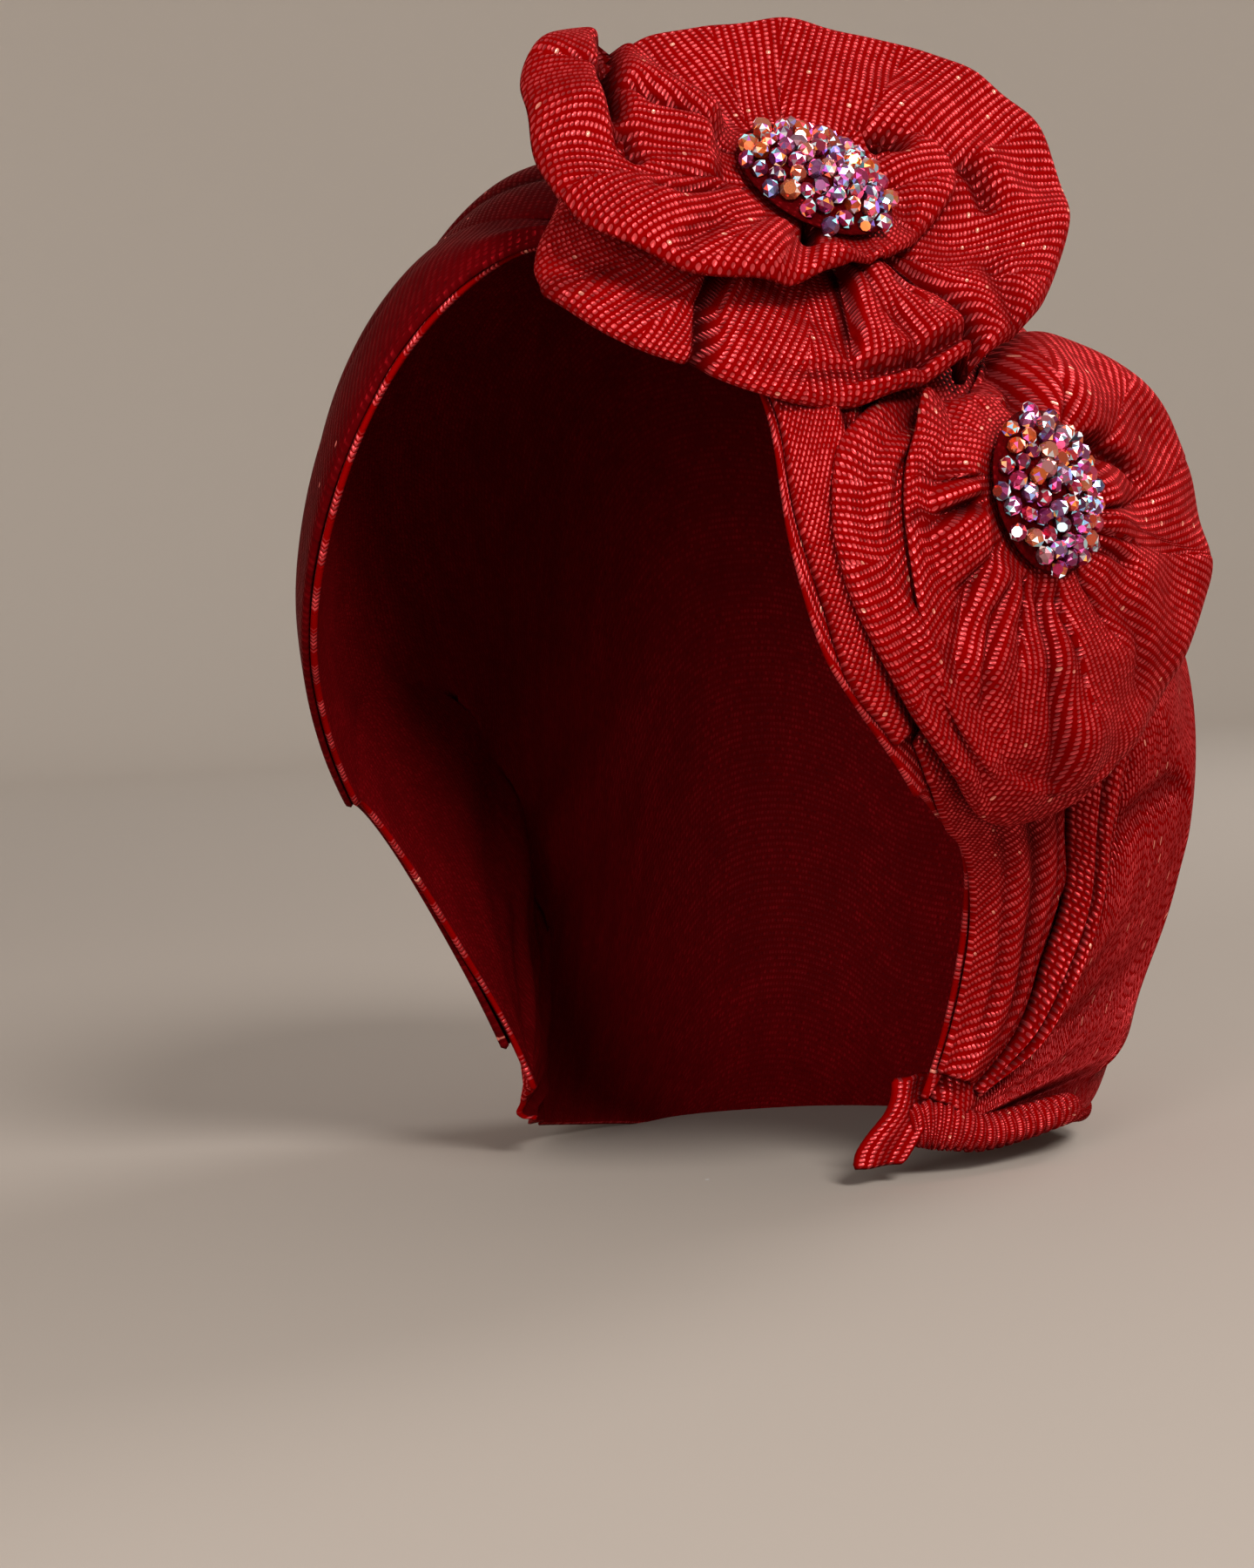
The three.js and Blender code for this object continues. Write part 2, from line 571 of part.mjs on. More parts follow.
function ruffleGeometry(ruffle) {
  const ring = (place, below) => Array.from({ length: SECTORS }, (_, sector) => {
    const angle = (360 * sector) / SECTORS
    const { radius } = sampleRows(ruffle.wrapped, 'angle', angle)
    const inner = Math.min(SEAT_RADIUS, radius * 0.8)
    return rufflePoint(ruffle, angle, lerp(inner, radius, place), below)
  })
  const rings = [
    ...TOP_RINGS.map((place) => ring(place, 0)),
    ring(1, 0.5),
    ...BOTTOM_RINGS.map((place) => ring(place, 1))
  ]
  return discGeometry(rufflePoint(ruffle, 0, 0, 0), rings, rufflePoint(ruffle, 0, 0, 1))
}

const STONE_WIDTH = 4
const STONES = 40
const CLUSTER_RADIUS = 16
const PAD_RISE = 5
const GOLDEN_ANGLE = 137.508
const FACETS = 8

function solidOf(points, triangles) {
  return new wasm.Manifold(new wasm.Mesh({
    numProp: 3,
    vertProperties: Float32Array.from(points.flatMap((p) => [p.x, p.y, p.z])),
    triVerts: Uint32Array.from(triangles.flat())
  }))
}

// The rings of a turned shape about an axis, closed with a flat face at each end.
function turnedSolid(frame, centre, axis, sides, profile) {
  const side = frame.u.clone().cross(axis).normalize()
  const other = axis.clone().cross(side)
  const points = profile.flatMap(({ radius, height }) => Array.from({ length: sides }, (_, k) => {
    const angle = (2 * Math.PI * k) / sides
    return centre.clone()
      .addScaledVector(side, radius * Math.cos(angle))
      .addScaledVector(other, radius * Math.sin(angle))
      .addScaledVector(axis, height)
  }))
  const at = (ring, k) => ring * sides + (k % sides)
  const last = profile.length - 1
  const triangles = []
  for (let k = 0; k < sides; k += 1) {
    for (let ring = 0; ring < last; ring += 1) {
      triangles.push([at(ring, k), at(ring + 1, k), at(ring + 1, k + 1)])
      triangles.push([at(ring, k), at(ring + 1, k + 1), at(ring, k + 1)])
    }
  }
  for (let k = 1; k < sides - 1; k += 1) {
    triangles.push([at(0, 0), at(0, k), at(0, k + 1)])
    triangles.push([at(last, 0), at(last, k + 1), at(last, k)])
  }
  return solidOf(points, triangles)
}

function domeHeight(radius) {
  return PAD_RISE * (1 - (radius / CLUSTER_RADIUS) ** 2)
}

function beadCluster(frame, base) {
  const heart = framePoint(frame, 0, 0, base)
  const pad = turnedSolid(frame, heart, frame.normal, 12, [
    { radius: CLUSTER_RADIUS * 0.3, height: domeHeight(CLUSTER_RADIUS * 0.3) },
    { radius: CLUSTER_RADIUS * 0.65, height: domeHeight(CLUSTER_RADIUS * 0.65) },
    { radius: CLUSTER_RADIUS + 0.8, height: 0 },
    { radius: CLUSTER_RADIUS * 0.9, height: -1.5 }
  ])
  const stones = Array.from({ length: STONES }, (_, k) => {
    const radius = CLUSTER_RADIUS * Math.sqrt((k + 0.5) / STONES)
    const angle = k * GOLDEN_ANGLE
    const axis = frame.normal.clone()
      .addScaledVector(frame.u, (radius / 40) * Math.cos(radians(angle)))
      .addScaledVector(frame.v, (radius / 40) * Math.sin(radians(angle)))
      .normalize()
    const centre = framePoint(frame, angle, radius, base + domeHeight(radius))
    return turnedSolid(frame, centre, axis, FACETS, [
      { radius: STONE_WIDTH * 0.28, height: STONE_WIDTH * 0.5 },
      { radius: STONE_WIDTH * 0.5, height: -0.5 }
    ])
  })
  const mesh = wasm.Manifold.union([pad, ...stones]).getMesh()
  const points = []
  for (let k = 0; k < mesh.vertProperties.length; k += 3) {
    points.push(new THREE.Vector3(...mesh.vertProperties.slice(k, k + 3)))
  }
  return geometryOf(points, Array.from(mesh.triVerts))
}

const clothRed = { color: 0xb01020, roughness: 0.55, metalness: 0.2 }
const clothDark = { color: 0x7a0a14, roughness: 0.6, metalness: 0.15 }
const stoneRose = { color: 0xd878a8, roughness: 0.1, metalness: 0.3 }

const group = new THREE.Group()

function addMesh(name, geometry, look) {
  const mesh = new THREE.Mesh(geometry, new THREE.MeshStandardMaterial(look))
  mesh.name = name
  group.add(mesh)
}

addMesh('crown_cap', crownCap(), clothRed)
for (const [name, rows] of Object.entries(STRIPS)) {
  addMesh(name, stripGeometry(rows), name === 'front_band' ? clothDark : clothRed)
}
addMesh('nape_tail', tailGeometry(), clothRed)
for (const [name, rows] of Object.entries(ROLLS)) {
  addMesh(name, rollGeometry(rows), clothRed)
}
for (const [name, ruffle] of Object.entries(RUFFLES)) {
  addMesh(name, ruffleGeometry(ruffle), clothRed)
}
addMesh('top_rosette_beads', beadCluster(TOP_FRAME, 18), stoneRose)
addMesh('side_rosette_beads', beadCluster(SIDE_FRAME, 19), stoneRose)

export default group
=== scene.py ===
"""A tied gele head tie: a turban cap with a gathered bag, folds over it and two ruffled rosettes.

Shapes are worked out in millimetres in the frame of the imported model: +Z up, the face looks along
-Y, +X is the wearer's left. They turn to metres when a mesh is made.
"""

from __future__ import annotations

import logging  # noqa: E402
import math  # noqa: E402
from dataclasses import dataclass, field  # noqa: E402
from enum import Enum  # noqa: E402

import bpy  # noqa: E402
import numpy as np  # noqa: E402
from mathutils import Matrix, Vector  # noqa: E402


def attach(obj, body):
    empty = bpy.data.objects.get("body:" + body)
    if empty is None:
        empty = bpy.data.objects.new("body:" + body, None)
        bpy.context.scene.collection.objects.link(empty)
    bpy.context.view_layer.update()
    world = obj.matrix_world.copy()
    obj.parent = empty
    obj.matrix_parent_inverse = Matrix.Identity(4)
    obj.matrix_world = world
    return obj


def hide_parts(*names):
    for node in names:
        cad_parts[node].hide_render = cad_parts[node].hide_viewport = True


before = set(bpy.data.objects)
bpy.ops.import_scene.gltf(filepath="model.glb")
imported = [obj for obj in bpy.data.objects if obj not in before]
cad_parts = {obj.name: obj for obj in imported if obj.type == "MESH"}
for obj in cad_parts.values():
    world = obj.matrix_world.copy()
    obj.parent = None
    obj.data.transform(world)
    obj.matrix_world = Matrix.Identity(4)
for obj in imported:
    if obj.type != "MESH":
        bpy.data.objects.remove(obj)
LOG = logging.getLogger("head_tie")
MILLIMETRE = 0.001
# The wall of the cloth and the gap between pieces are in millimetres. A hem's roundness is a share
# of the wall. The two directions are those of the picture's right side and top.
CLOTH_WALL = 1.4
GAP = 0.6
HEM_ROUND = 0.45
PICTURE_RIGHT = (0.891, 0.451, -0.052)
PICTURE_UP = (0.0229, 0.0703, 0.9973)
Table = dict[str, np.ndarray]
Colour = tuple[float, float, float, float]


class Slot(Enum):
    """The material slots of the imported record."""

    RIBBED = "ribbed_cloth"
    PLAIN = "plain_cloth"
    STONES = "cut_stones"


class Hold(Enum):
    """How a sheet of cloth is held."""

    GATHERED = "gathered"
    FOLDED = "folded"


def table(columns: str, *rows: tuple[float, ...]) -> Table:
    """Makes a table with named columns.

    Args:
        columns: the column names, with spaces between them; the first is the key.
        rows: one tuple of numbers a row, in rising order of the key.

    Returns:
        The columns by name.
    """
    values = np.array(rows, float)
    return {name: values[:, k] for k, name in enumerate(columns.split())}


def sample(rows: Table, at: np.ndarray) -> Table:
    """Reads every column of a table at places between its rows, on smooth curves through them.

    Args:
        rows: the table.
        at: the places along its first column.

    Returns:
        The other columns, each in the shape of the places.
    """
    key, *names = rows
    stops = rows[key]
    place = np.clip(at, stops[0], stops[-1])
    right = np.clip(np.searchsorted(stops, place), 1, len(stops) - 1)
    left = right - 1
    before = np.maximum(left - 1, 0)
    after = np.minimum(right + 1, len(stops) - 1)
    span = stops[right] - stops[left]
    t = (place - stops[left]) / span
    blend = t * t * (3 - 2 * t)
    found = {}
    for name in names:
        value = rows[name]
        slope_left = (value[right] - value[before]) / (stops[right] - stops[before])
        slope_right = (value[after] - value[left]) / (stops[after] - stops[left])
        level = value[left] + (value[right] - value[left]) * blend
        found[name] = level + span * t * (1 - t) * (slope_left * (1 - t) - slope_right * t)
    return found


def wrapped(rows: Table) -> Table:
    """A table whose key is an angle, with its last rows before the first and its first after the last."""
    key = next(iter(rows))
    longer = {}
    for name, value in rows.items():
        turn = 360.0 if name == key else 0.0
        longer[name] = np.concatenate([value[-2:] - turn, value, value[:2] + turn])
    return longer


def smooth_step(low: float, high: float, at: np.ndarray) -> np.ndarray:
    """A smooth rise from 0 at low to 1 at high."""
    t = np.clip((at - low) / (high - low), 0, 1)
    return t * t * (3 - 2 * t)


def unit(vectors: np.ndarray) -> np.ndarray:
    """Vectors of length 1, along the last axis."""
    return vectors / np.maximum(np.linalg.norm(vectors, axis=-1, keepdims=True), 1e-9)


class SmoothNoise:
    """Smooth random waves over a plane, the same on each run.

    Args:
        seed: the seed of its waves.
        waves: how many waves it sums.
        stretch: how much longer its waves are along the second axis than along the first.
    """

    def __init__(self, seed: int, waves: int = 14, stretch: float = 1.0) -> None:
        """Draws the waves."""
        draw = np.random.default_rng(seed)
        angle = draw.uniform(0, 2 * np.pi, waves)
        size = draw.uniform(0.5, 1.6, waves)
        self.across = size * np.cos(angle)
        self.along = size * np.sin(angle) / stretch
        self.phase = draw.uniform(0, 2 * np.pi, waves)
        self.scale = math.sqrt(2 / waves)

    def __call__(self, u: np.ndarray, v: np.ndarray) -> np.ndarray:
        """The noise at places u, v, mostly between -1 and 1."""
        total = np.zeros(np.broadcast(u, v).shape)
        for a, b, phase in zip(self.across, self.along, self.phase):
            total += np.sin(2 * np.pi * (a * u + b * v) + phase)
        return total * self.scale


@dataclass
class Surface:
    """Points, quads and cloth coordinates of a surface that is being made, in millimetres.

    Attributes:
        points: the points, one row each.
        quads: the point numbers of each quad.
        weave: the cloth coordinates of each corner of each quad.
        fans: the point numbers of triangles that close a pole.
        reverse: the first and last quad of the face that shows the back of the cloth.
        dark: the painted shade of each point, from 0 to 1, by which the material darkens the cloth in
            folds.
    """

    points: np.ndarray
    quads: np.ndarray
    weave: np.ndarray
    fans: np.ndarray = field(default_factory=lambda: np.zeros((0, 3), int))
    reverse: tuple[int, int] = (0, 0)
    dark: np.ndarray = field(default_factory=lambda: np.zeros(0))

    def paint_fold_shade(self, dark: np.ndarray) -> "Surface":
        """Stores the painted shade of its first points, which grows with how deep in a fold they lie."""
        self.dark = np.zeros(len(self.points), np.float32)
        self.dark[: dark.size] = np.clip(dark, 0, 1).ravel()
        return self

    def to_object(self, name: str, *materials: bpy.types.Material) -> bpy.types.Object:
        """Makes a mesh object at the origin.

        Args:
            name: the piece's name.
            materials: its finish, and the finish of the back of the cloth.

        Returns:
            The object, linked to the scene.
        """
        mesh = bpy.data.meshes.new(name)
        mesh.vertices.add(len(self.points))
        mesh.vertices.foreach_set("co", (self.points * MILLIMETRE).astype(np.float32).ravel())
        corners = np.concatenate([self.quads.ravel(), self.fans.ravel()])
        sizes = np.concatenate([np.full(len(self.quads), 4), np.full(len(self.fans), 3)])
        mesh.loops.add(len(corners))
        mesh.loops.foreach_set("vertex_index", corners.astype(np.int32))
        mesh.polygons.add(len(sizes))
        starts = np.concatenate([[0], np.cumsum(sizes)[:-1]])
        mesh.polygons.foreach_set("loop_start", starts.astype(np.int32))
        mesh.update(calc_edges=True)
        layer = mesh.uv_layers.new(name="weave")
        coords = np.zeros((len(corners), 2), np.float32)
        coords[: self.quads.size] = self.weave.reshape(-1, 2)
        layer.data.foreach_set("uv", coords.ravel())
        mesh.polygons.foreach_set("use_smooth", np.ones(len(sizes), bool))
        # Painted shade: a point attribute by which the material darkens the cloth's colour along folds.
        if self.dark.size:
            mesh.attributes.new("fold_dark", "FLOAT", "POINT").data.foreach_set("value", self.dark)
        for material in materials:
            mesh.materials.append(material)
        if len(materials) > 1:
            back = np.zeros(len(sizes), np.int32)
            back[self.reverse[0]:self.reverse[1]] = 1
            mesh.polygons.foreach_set("material_index", back)
        mesh.validate()
        return add_object(name, mesh)


def add_object(name: str, data: bpy.types.ID) -> bpy.types.Object:
    """Makes an object of a mesh, a camera or a lamp, and links it to the scene."""
    obj = bpy.data.objects.new(name, data)
    bpy.context.scene.collection.objects.link(obj)
    return obj


def grid_quads(rows: int, columns: int, closed: bool = False) -> np.ndarray:
    """Quads over a grid of points.

    Args:
        rows: how many rows of points.
        columns: how many points in a row.
        closed: whether the last column joins the first.

    Returns:
        The point numbers of each quad, row by row.
    """
    wide = columns if closed else columns - 1
    row, column = np.meshgrid(np.arange(rows - 1), np.arange(wide), indexing="ij")
    beside = (column + 1) % columns
    this, below = row * columns, (row + 1) * columns
    corners = [this + column, this + beside, below + beside, below + column]
    return np.stack(corners, -1).reshape(-1, 4)


def weave_of(grid: np.ndarray, closed: bool = False) -> np.ndarray:
    """The cloth coordinates of each quad's corners, from one pair for each point of a grid."""
    beside = np.roll(grid, -1, axis=1)
    ends = slice(None) if closed else slice(None, -1)
    corners = [grid[:-1, ends], beside[:-1, ends], beside[1:, ends], grid[1:, ends]]
    return np.stack(corners, -2).reshape(-1, 4, 2)


def corners_of(grid: np.ndarray) -> np.ndarray:
    """The values at the four corners of each quad of a closed grid."""
    beside = np.roll(grid, -1, axis=1)
    return np.stack([grid[:-1], beside[:-1], beside[1:], grid[1:]], -1)


def turned(weave: np.ndarray, degrees: float) -> np.ndarray:
    """Cloth coordinates turned by an angle."""
    turn = math.radians(degrees)
    return weave @ np.array([[math.cos(turn), math.sin(turn)], [-math.sin(turn), math.cos(turn)]])


def sheet_surface(outer: np.ndarray, inner: np.ndarray, weave: np.ndarray) -> Surface:
    """A closed sheet of cloth with a rounded hem, from its two faces.

    Args:
        outer: the grid of points of its outer face.
        inner: the grid of points of its inner face.
        weave: the cloth coordinates of each point.

    Returns:
        The surface.
    """
    rows, columns = outer.shape[:2]
    under = rows * columns
    border = np.concatenate([
        np.arange(columns),
        np.arange(1, rows) * columns + columns - 1,
        (rows - 1) * columns + np.arange(columns - 2, -1, -1),
        np.arange(rows - 2, 0, -1) * columns,
    ])
    inward = np.concatenate([
        np.arange(columns) + columns,
        np.arange(1, rows) * columns + columns - 2,
        (rows - 2) * columns + np.arange(columns - 2, -1, -1),
        np.arange(rows - 2, 0, -1) * columns + 1,
    ])
    top, low = outer.reshape(-1, 3), inner.reshape(-1, 3)
    middle = (top[border] + low[border]) / 2
    depth = np.linalg.norm(top[border] - low[border], axis=1, keepdims=True)
    off = unit(top[border] - top[inward])
    hem = middle + off * depth * HEM_ROUND
    points = np.concatenate([top, low, hem])
    hem_at = 2 * under + np.arange(len(border))
    nexts = np.roll(np.arange(len(border)), -1)
    upper = np.stack([border, hem_at, hem_at[nexts], border[nexts]], -1)
    lower = np.stack([hem_at, under + border, under + border[nexts], hem_at[nexts]], -1)
    faces = grid_quads(rows, columns)
    quads = np.concatenate([faces, faces[:, ::-1] + under, upper, lower])
    cloth = weave_of(weave)
    pairs = weave.reshape(-1, 2)
    rim = np.stack([pairs[border], pairs[border], pairs[border[nexts]], pairs[border[nexts]]], 1)
    whole = np.concatenate([cloth, cloth[:, ::-1], rim, rim])
    return Surface(points, quads, whole, reverse=(len(faces), 2 * len(faces)))


def tube_surface(rings: np.ndarray, weave: np.ndarray) -> Surface:
    """A closed shape from rings of points, with a point at each end.

    Args:
        rings: the rings, each a closed row of points.
        weave: the cloth coordinates of each corner of each quad.

    Returns:
        The surface.
    """
    count, sides = rings.shape[:2]
    ends = rings[[0, -1]].mean(axis=1)
    points = np.concatenate([rings.reshape(-1, 3), ends])
    first, beside = np.arange(sides), np.roll(np.arange(sides), -1)
    last = (count - 1) * sides
    fans = np.concatenate([
        np.stack([np.full(sides, count * sides), beside, first], -1),
        np.stack([np.full(sides, count * sides + 1), last + first, last + beside], -1),
    ])
    return Surface(points, grid_quads(count, sides, closed=True), weave, fans)


@dataclass
class CapShape:
    """The form of the head tie's cap, which the folds lie on.

    Attributes:
        pivot_y: how far back the arches' shared foot line is.
        pivot_z: how high it is.
        foot_height: how far above it the arches end.
        widest_at: the share of the way round at which an arch is widest.
        roundness: the power of an arch's crown curve.
        tuck: the power of its curve below the widest place.
        arches: for each tilt from upright, the arch's reach, its half widths, the height of its
            widest place and its feet.
    """

    pivot_y: float = 8
    pivot_z: float = -203
    foot_height: float = 8
    widest_at: float = 0.62
    roundness: float = 2.08
    tuck: float = 1.9
    arches: Table = field(default_factory=lambda: table(
        "tilt reach left right widest foot_left foot_right",
        (-42, 151, 59, 53, 78, 40, 40),
        (-28, 179, 67, 59.5, 88, 40, 40),
        (-14, 196.5, 75, 69.5, 96, 40, 40),
        (0, 203, 79, 74, 98, 41, 41),
        (18, 197, 84, 76, 96, 42, 42),
        (36, 169, 87, 78, 90, 44, 44),
        (54, 138, 81, 76, 74, 46, 46),
        (72, 116, 73, 71, 56, 47, 47),
        (88, 98, 66, 64, 38, 47, 47),
        (100, 82, 58, 57, 26, 46, 46),
    ))

    def halves(self, arch: Table, side: np.ndarray) -> tuple[np.ndarray, np.ndarray]:
        """An arch's half width and foot on the side that each number's sign names."""
        left = side > 0
        half = np.where(left, arch["left"], arch["right"])
        return half, np.where(left, arch["foot_left"], arch["foot_right"])

    def bare(self, tilt: np.ndarray, around: np.ndarray) -> np.ndarray:
        """Places on the cap's inner face.

        Args:
            tilt: the arch's tilt from upright, in degrees.
            around: the share of the way from the crown (0) to the left (1) or right (-1) foot.

        Returns:
            The points, in millimetres.
        """
        arch = sample(self.arches, tilt)
        half, foot = self.halves(arch, around)
        share = np.abs(around)
        upper = (np.pi / 2) * np.minimum(share / self.widest_at, 1)
        power = 2 / self.roundness
        x_up = half * np.sin(upper) ** power
        high = arch["widest"] + (arch["reach"] - arch["widest"]) * np.maximum(np.cos(upper), 0) ** power
        last = np.arcsin((1 - self.foot_height / arch["widest"]) ** (1 / self.tuck))
        lower = last * np.clip((share - self.widest_at) / (1 - self.widest_at), 0, 1.2)
        x_low = foot + (half - foot) * np.cos(lower) ** self.tuck
        low = arch["widest"] * (1 - np.sin(lower) ** self.tuck)
        is_up = share <= self.widest_at
        x, height = np.where(is_up, x_up, x_low), np.where(is_up, high, low)
        turn = np.radians(tilt)
        y, z = self.pivot_y + height * np.sin(turn), self.pivot_z + height * np.cos(turn)
        return np.stack([np.sign(around) * x, y, z], -1)

    def normal(self, tilt: np.ndarray, around: np.ndarray) -> np.ndarray:
        """The directions that point straight out of the cap."""
        along = self.bare(tilt + 1, around) - self.bare(tilt - 1, around)
        across = self.bare(tilt, around + 0.01) - self.bare(tilt, around - 0.01)
        return unit(np.cross(across, along))

    def point(self, tilt: np.ndarray, around: np.ndarray, lift: np.ndarray) -> np.ndarray:
        """Places on the cap, lifted off its inner face."""
        tilt, around = np.broadcast_arrays(np.asarray(tilt, float), np.asarray(around, float))
        lift = np.broadcast_to(lift, tilt.shape)
        return self.bare(tilt, around) + self.normal(tilt, around) * lift[..., None]

    def rest(self, points: np.ndarray, lift: np.ndarray) -> np.ndarray:
        """Moves points outward until they are at least lift above the cap's inner face."""
        x, dy, dz = points[..., 0], points[..., 1] - self.pivot_y, points[..., 2] - self.pivot_z
        height = np.hypot(dy, dz)
        arch = sample(self.arches, np.degrees(np.arctan2(dy, dz)))
        half, foot = self.halves(arch, x)
        rise = np.maximum(height - arch["widest"], 0)
        tall = arch["reach"] - arch["widest"]
        power = self.roundness
        fill = ((np.abs(x) / half) ** power + (rise / tall) ** power) ** (1 / power)
        wanted = 1 + lift * fill / np.maximum(np.hypot(x, rise), 1e-6)
        scale = np.maximum(wanted / np.maximum(fill, 1e-6), 1)
        lifted = (arch["widest"] + rise * scale) / np.maximum(height, 1e-6)
        above = np.stack([x * scale, self.pivot_y + dy * lifted, self.pivot_z + dz * lifted], -1)
        sine = np.clip(1 - height / arch["widest"], 0, 1) ** (1 / self.tuck)
        wall = foot + (half - foot) * np.sqrt(1 - sine * sine) ** self.tuck
        below = points.copy()
        below[..., 0] = np.sign(x) * np.maximum(np.abs(x), wall + lift)
        return np.where((height >= arch["widest"])[..., None], above, below)

    def weave(self, tilt: np.ndarray, around: np.ndarray) -> np.ndarray:
        """Cloth coordinates: millimetres round the cap, and millimetres from front to back."""
        points = self.bare(tilt, around)
        round_steps = np.linalg.norm(np.diff(points, axis=1), axis=2)
        back_steps = np.linalg.norm(np.diff(points, axis=0), axis=2)
        u = np.concatenate([np.zeros((len(points), 1)), np.cumsum(round_steps, axis=1)], axis=1)
        v = np.concatenate([np.zeros((1, points.shape[1])), np.cumsum(back_steps, axis=0)], axis=0)
        u = np.broadcast_to(u.mean(axis=0), u.shape)
        return np.stack([u, v], -1)


CAP = CapShape()


@dataclass
class CrownCap:
    """The cap with its gathered bag: one sheet from the front edge to the nape.

    Attributes:
        rows: how many rows of points it has from front to back.
        columns: how many points each row has.
        turn: how far its ribs are turned from front-to-back lines, in degrees.
        shade: how much painted shade a groove gets for each millimetre of its depth, as a share of the
            light.
        wrinkles: how high the small wrinkles of the bag stand.
        seed: the seed of those wrinkles.
        edges: for each place round the cap, the tilts of its front edge and of its hem.
        folds: the grooves of the bag: each one's tilt, lean, depth and width, and the places round
            the cap at which it starts and is full.
    """

    rows: int = 190
    columns: int = 250
    turn: float = 80.0
    shade: float = 0.16
    wrinkles: float = 0.9
    seed: int = 11
    edges: Table = field(default_factory=lambda: table(
        "around front hem",
        (-1, 0, 96), (-0.85, -20, 98), (-0.62, -31, 100), (-0.45, -33.5, 100), (-0.35, -33, 100),
        (-0.27, -31, 100), (-0.17, -26.5, 100), (-0.08, -22.5, 100), (0, -19.5, 100), (0.1, -20.5, 100),
        (0.22, -21.5, 98), (0.3, -24.5, 96), (0.375, -30.5, 93), (0.46, -34, 91), (0.6, -32, 90),
        (0.73, -26, 89), (0.84, -10, 88), (1, 10, 88),
    ))
    folds: Table = field(default_factory=lambda: table(
        "tilt lean depth width start full",
        (25, 190, 6, 4.5, 0.58, 0.76), (62, 0, 2, 5, 0.6, 0.85), (83, 0, 3.2, 4, 0.3, 0.7),
        (34, -50, 2.6, 2.5, 0.62, 0.68), (73, 0, 1.2, 3, 0.66, 0.86), (50, 40, 1.4, 3, 0.72, 0.86),
        (40, 0, 3, 6, -0.55, -0.8), (58, 0, 3, 6, -0.5, -0.8), (76, 0, 3, 6, -0.4, -0.8),
        (49, 0, 1.5, 3, -0.6, -0.84), (67, 0, 1.5, 3, -0.6, -0.84), (85, 0, 1.5, 3, -0.5, -0.84),
    ))

    def fold_depth(self, tilt: np.ndarray, around: np.ndarray) -> np.ndarray:
        """How deep the bag's grooves are."""
        depth = np.zeros(tilt.shape)
        for at, lean, deep, width, start, full in zip(*self.folds.values()):
            sign = math.copysign(1, full)
            grow = smooth_step(abs(start), abs(full), np.maximum(sign * around, 0))
            fade = 1 - smooth_step(0.85, 1, np.abs(around))
            middle = at + lean * (np.abs(around) - 0.75)
            depth += deep * grow * fade * np.exp(-(((tilt - middle) / width) ** 2))
        return depth

    def build(self, material: bpy.types.Material, back_cloth: bpy.types.Material) -> bpy.types.Object:
        """Makes the cap.

        Args:
            material: the ribbed cloth.
            back_cloth: the back of the cloth.

        Returns:
            The piece.
        """
        around = np.linspace(-1, 1, self.columns)[None, :].repeat(self.rows, axis=0)
        edge = sample(self.edges, around)
        share = np.linspace(0, 1, self.rows)[:, None]
        tilt = edge["front"] + (edge["hem"] - edge["front"]) * share
        dent = self.fold_depth(tilt, around)
        drift = SmoothNoise(self.seed)(tilt / 60, around * 2.2) * 1.6
        soft = SmoothNoise(self.seed + 1, 18, 3.0)((tilt + drift * 4) / 26, around * 2.5)
        wrinkle = soft * self.wrinkles * smooth_step(-20, 40, tilt)
        back = smooth_step(-5, 25, tilt)
        lift = np.minimum(wrinkle, 1.2) * back - dent
        outer = CAP.point(tilt, around, CLOTH_WALL + lift)
        inner = CAP.point(tilt, around, lift)
        weave = turned(CAP.weave(tilt, around), self.turn)
        # Painted shade in the bag's grooves.
        cloth = sheet_surface(outer, inner, weave).paint_fold_shade(self.shade * dent)
        piece = cloth.to_object("gathered_cap", material, back_cloth)
        finish_sheet(piece, "crown_cap", (0.4, 0.3))
        return piece


STRIP_COLUMNS = "around front back bulge"
STRIP_CREASES = "start end depth width begins ends"


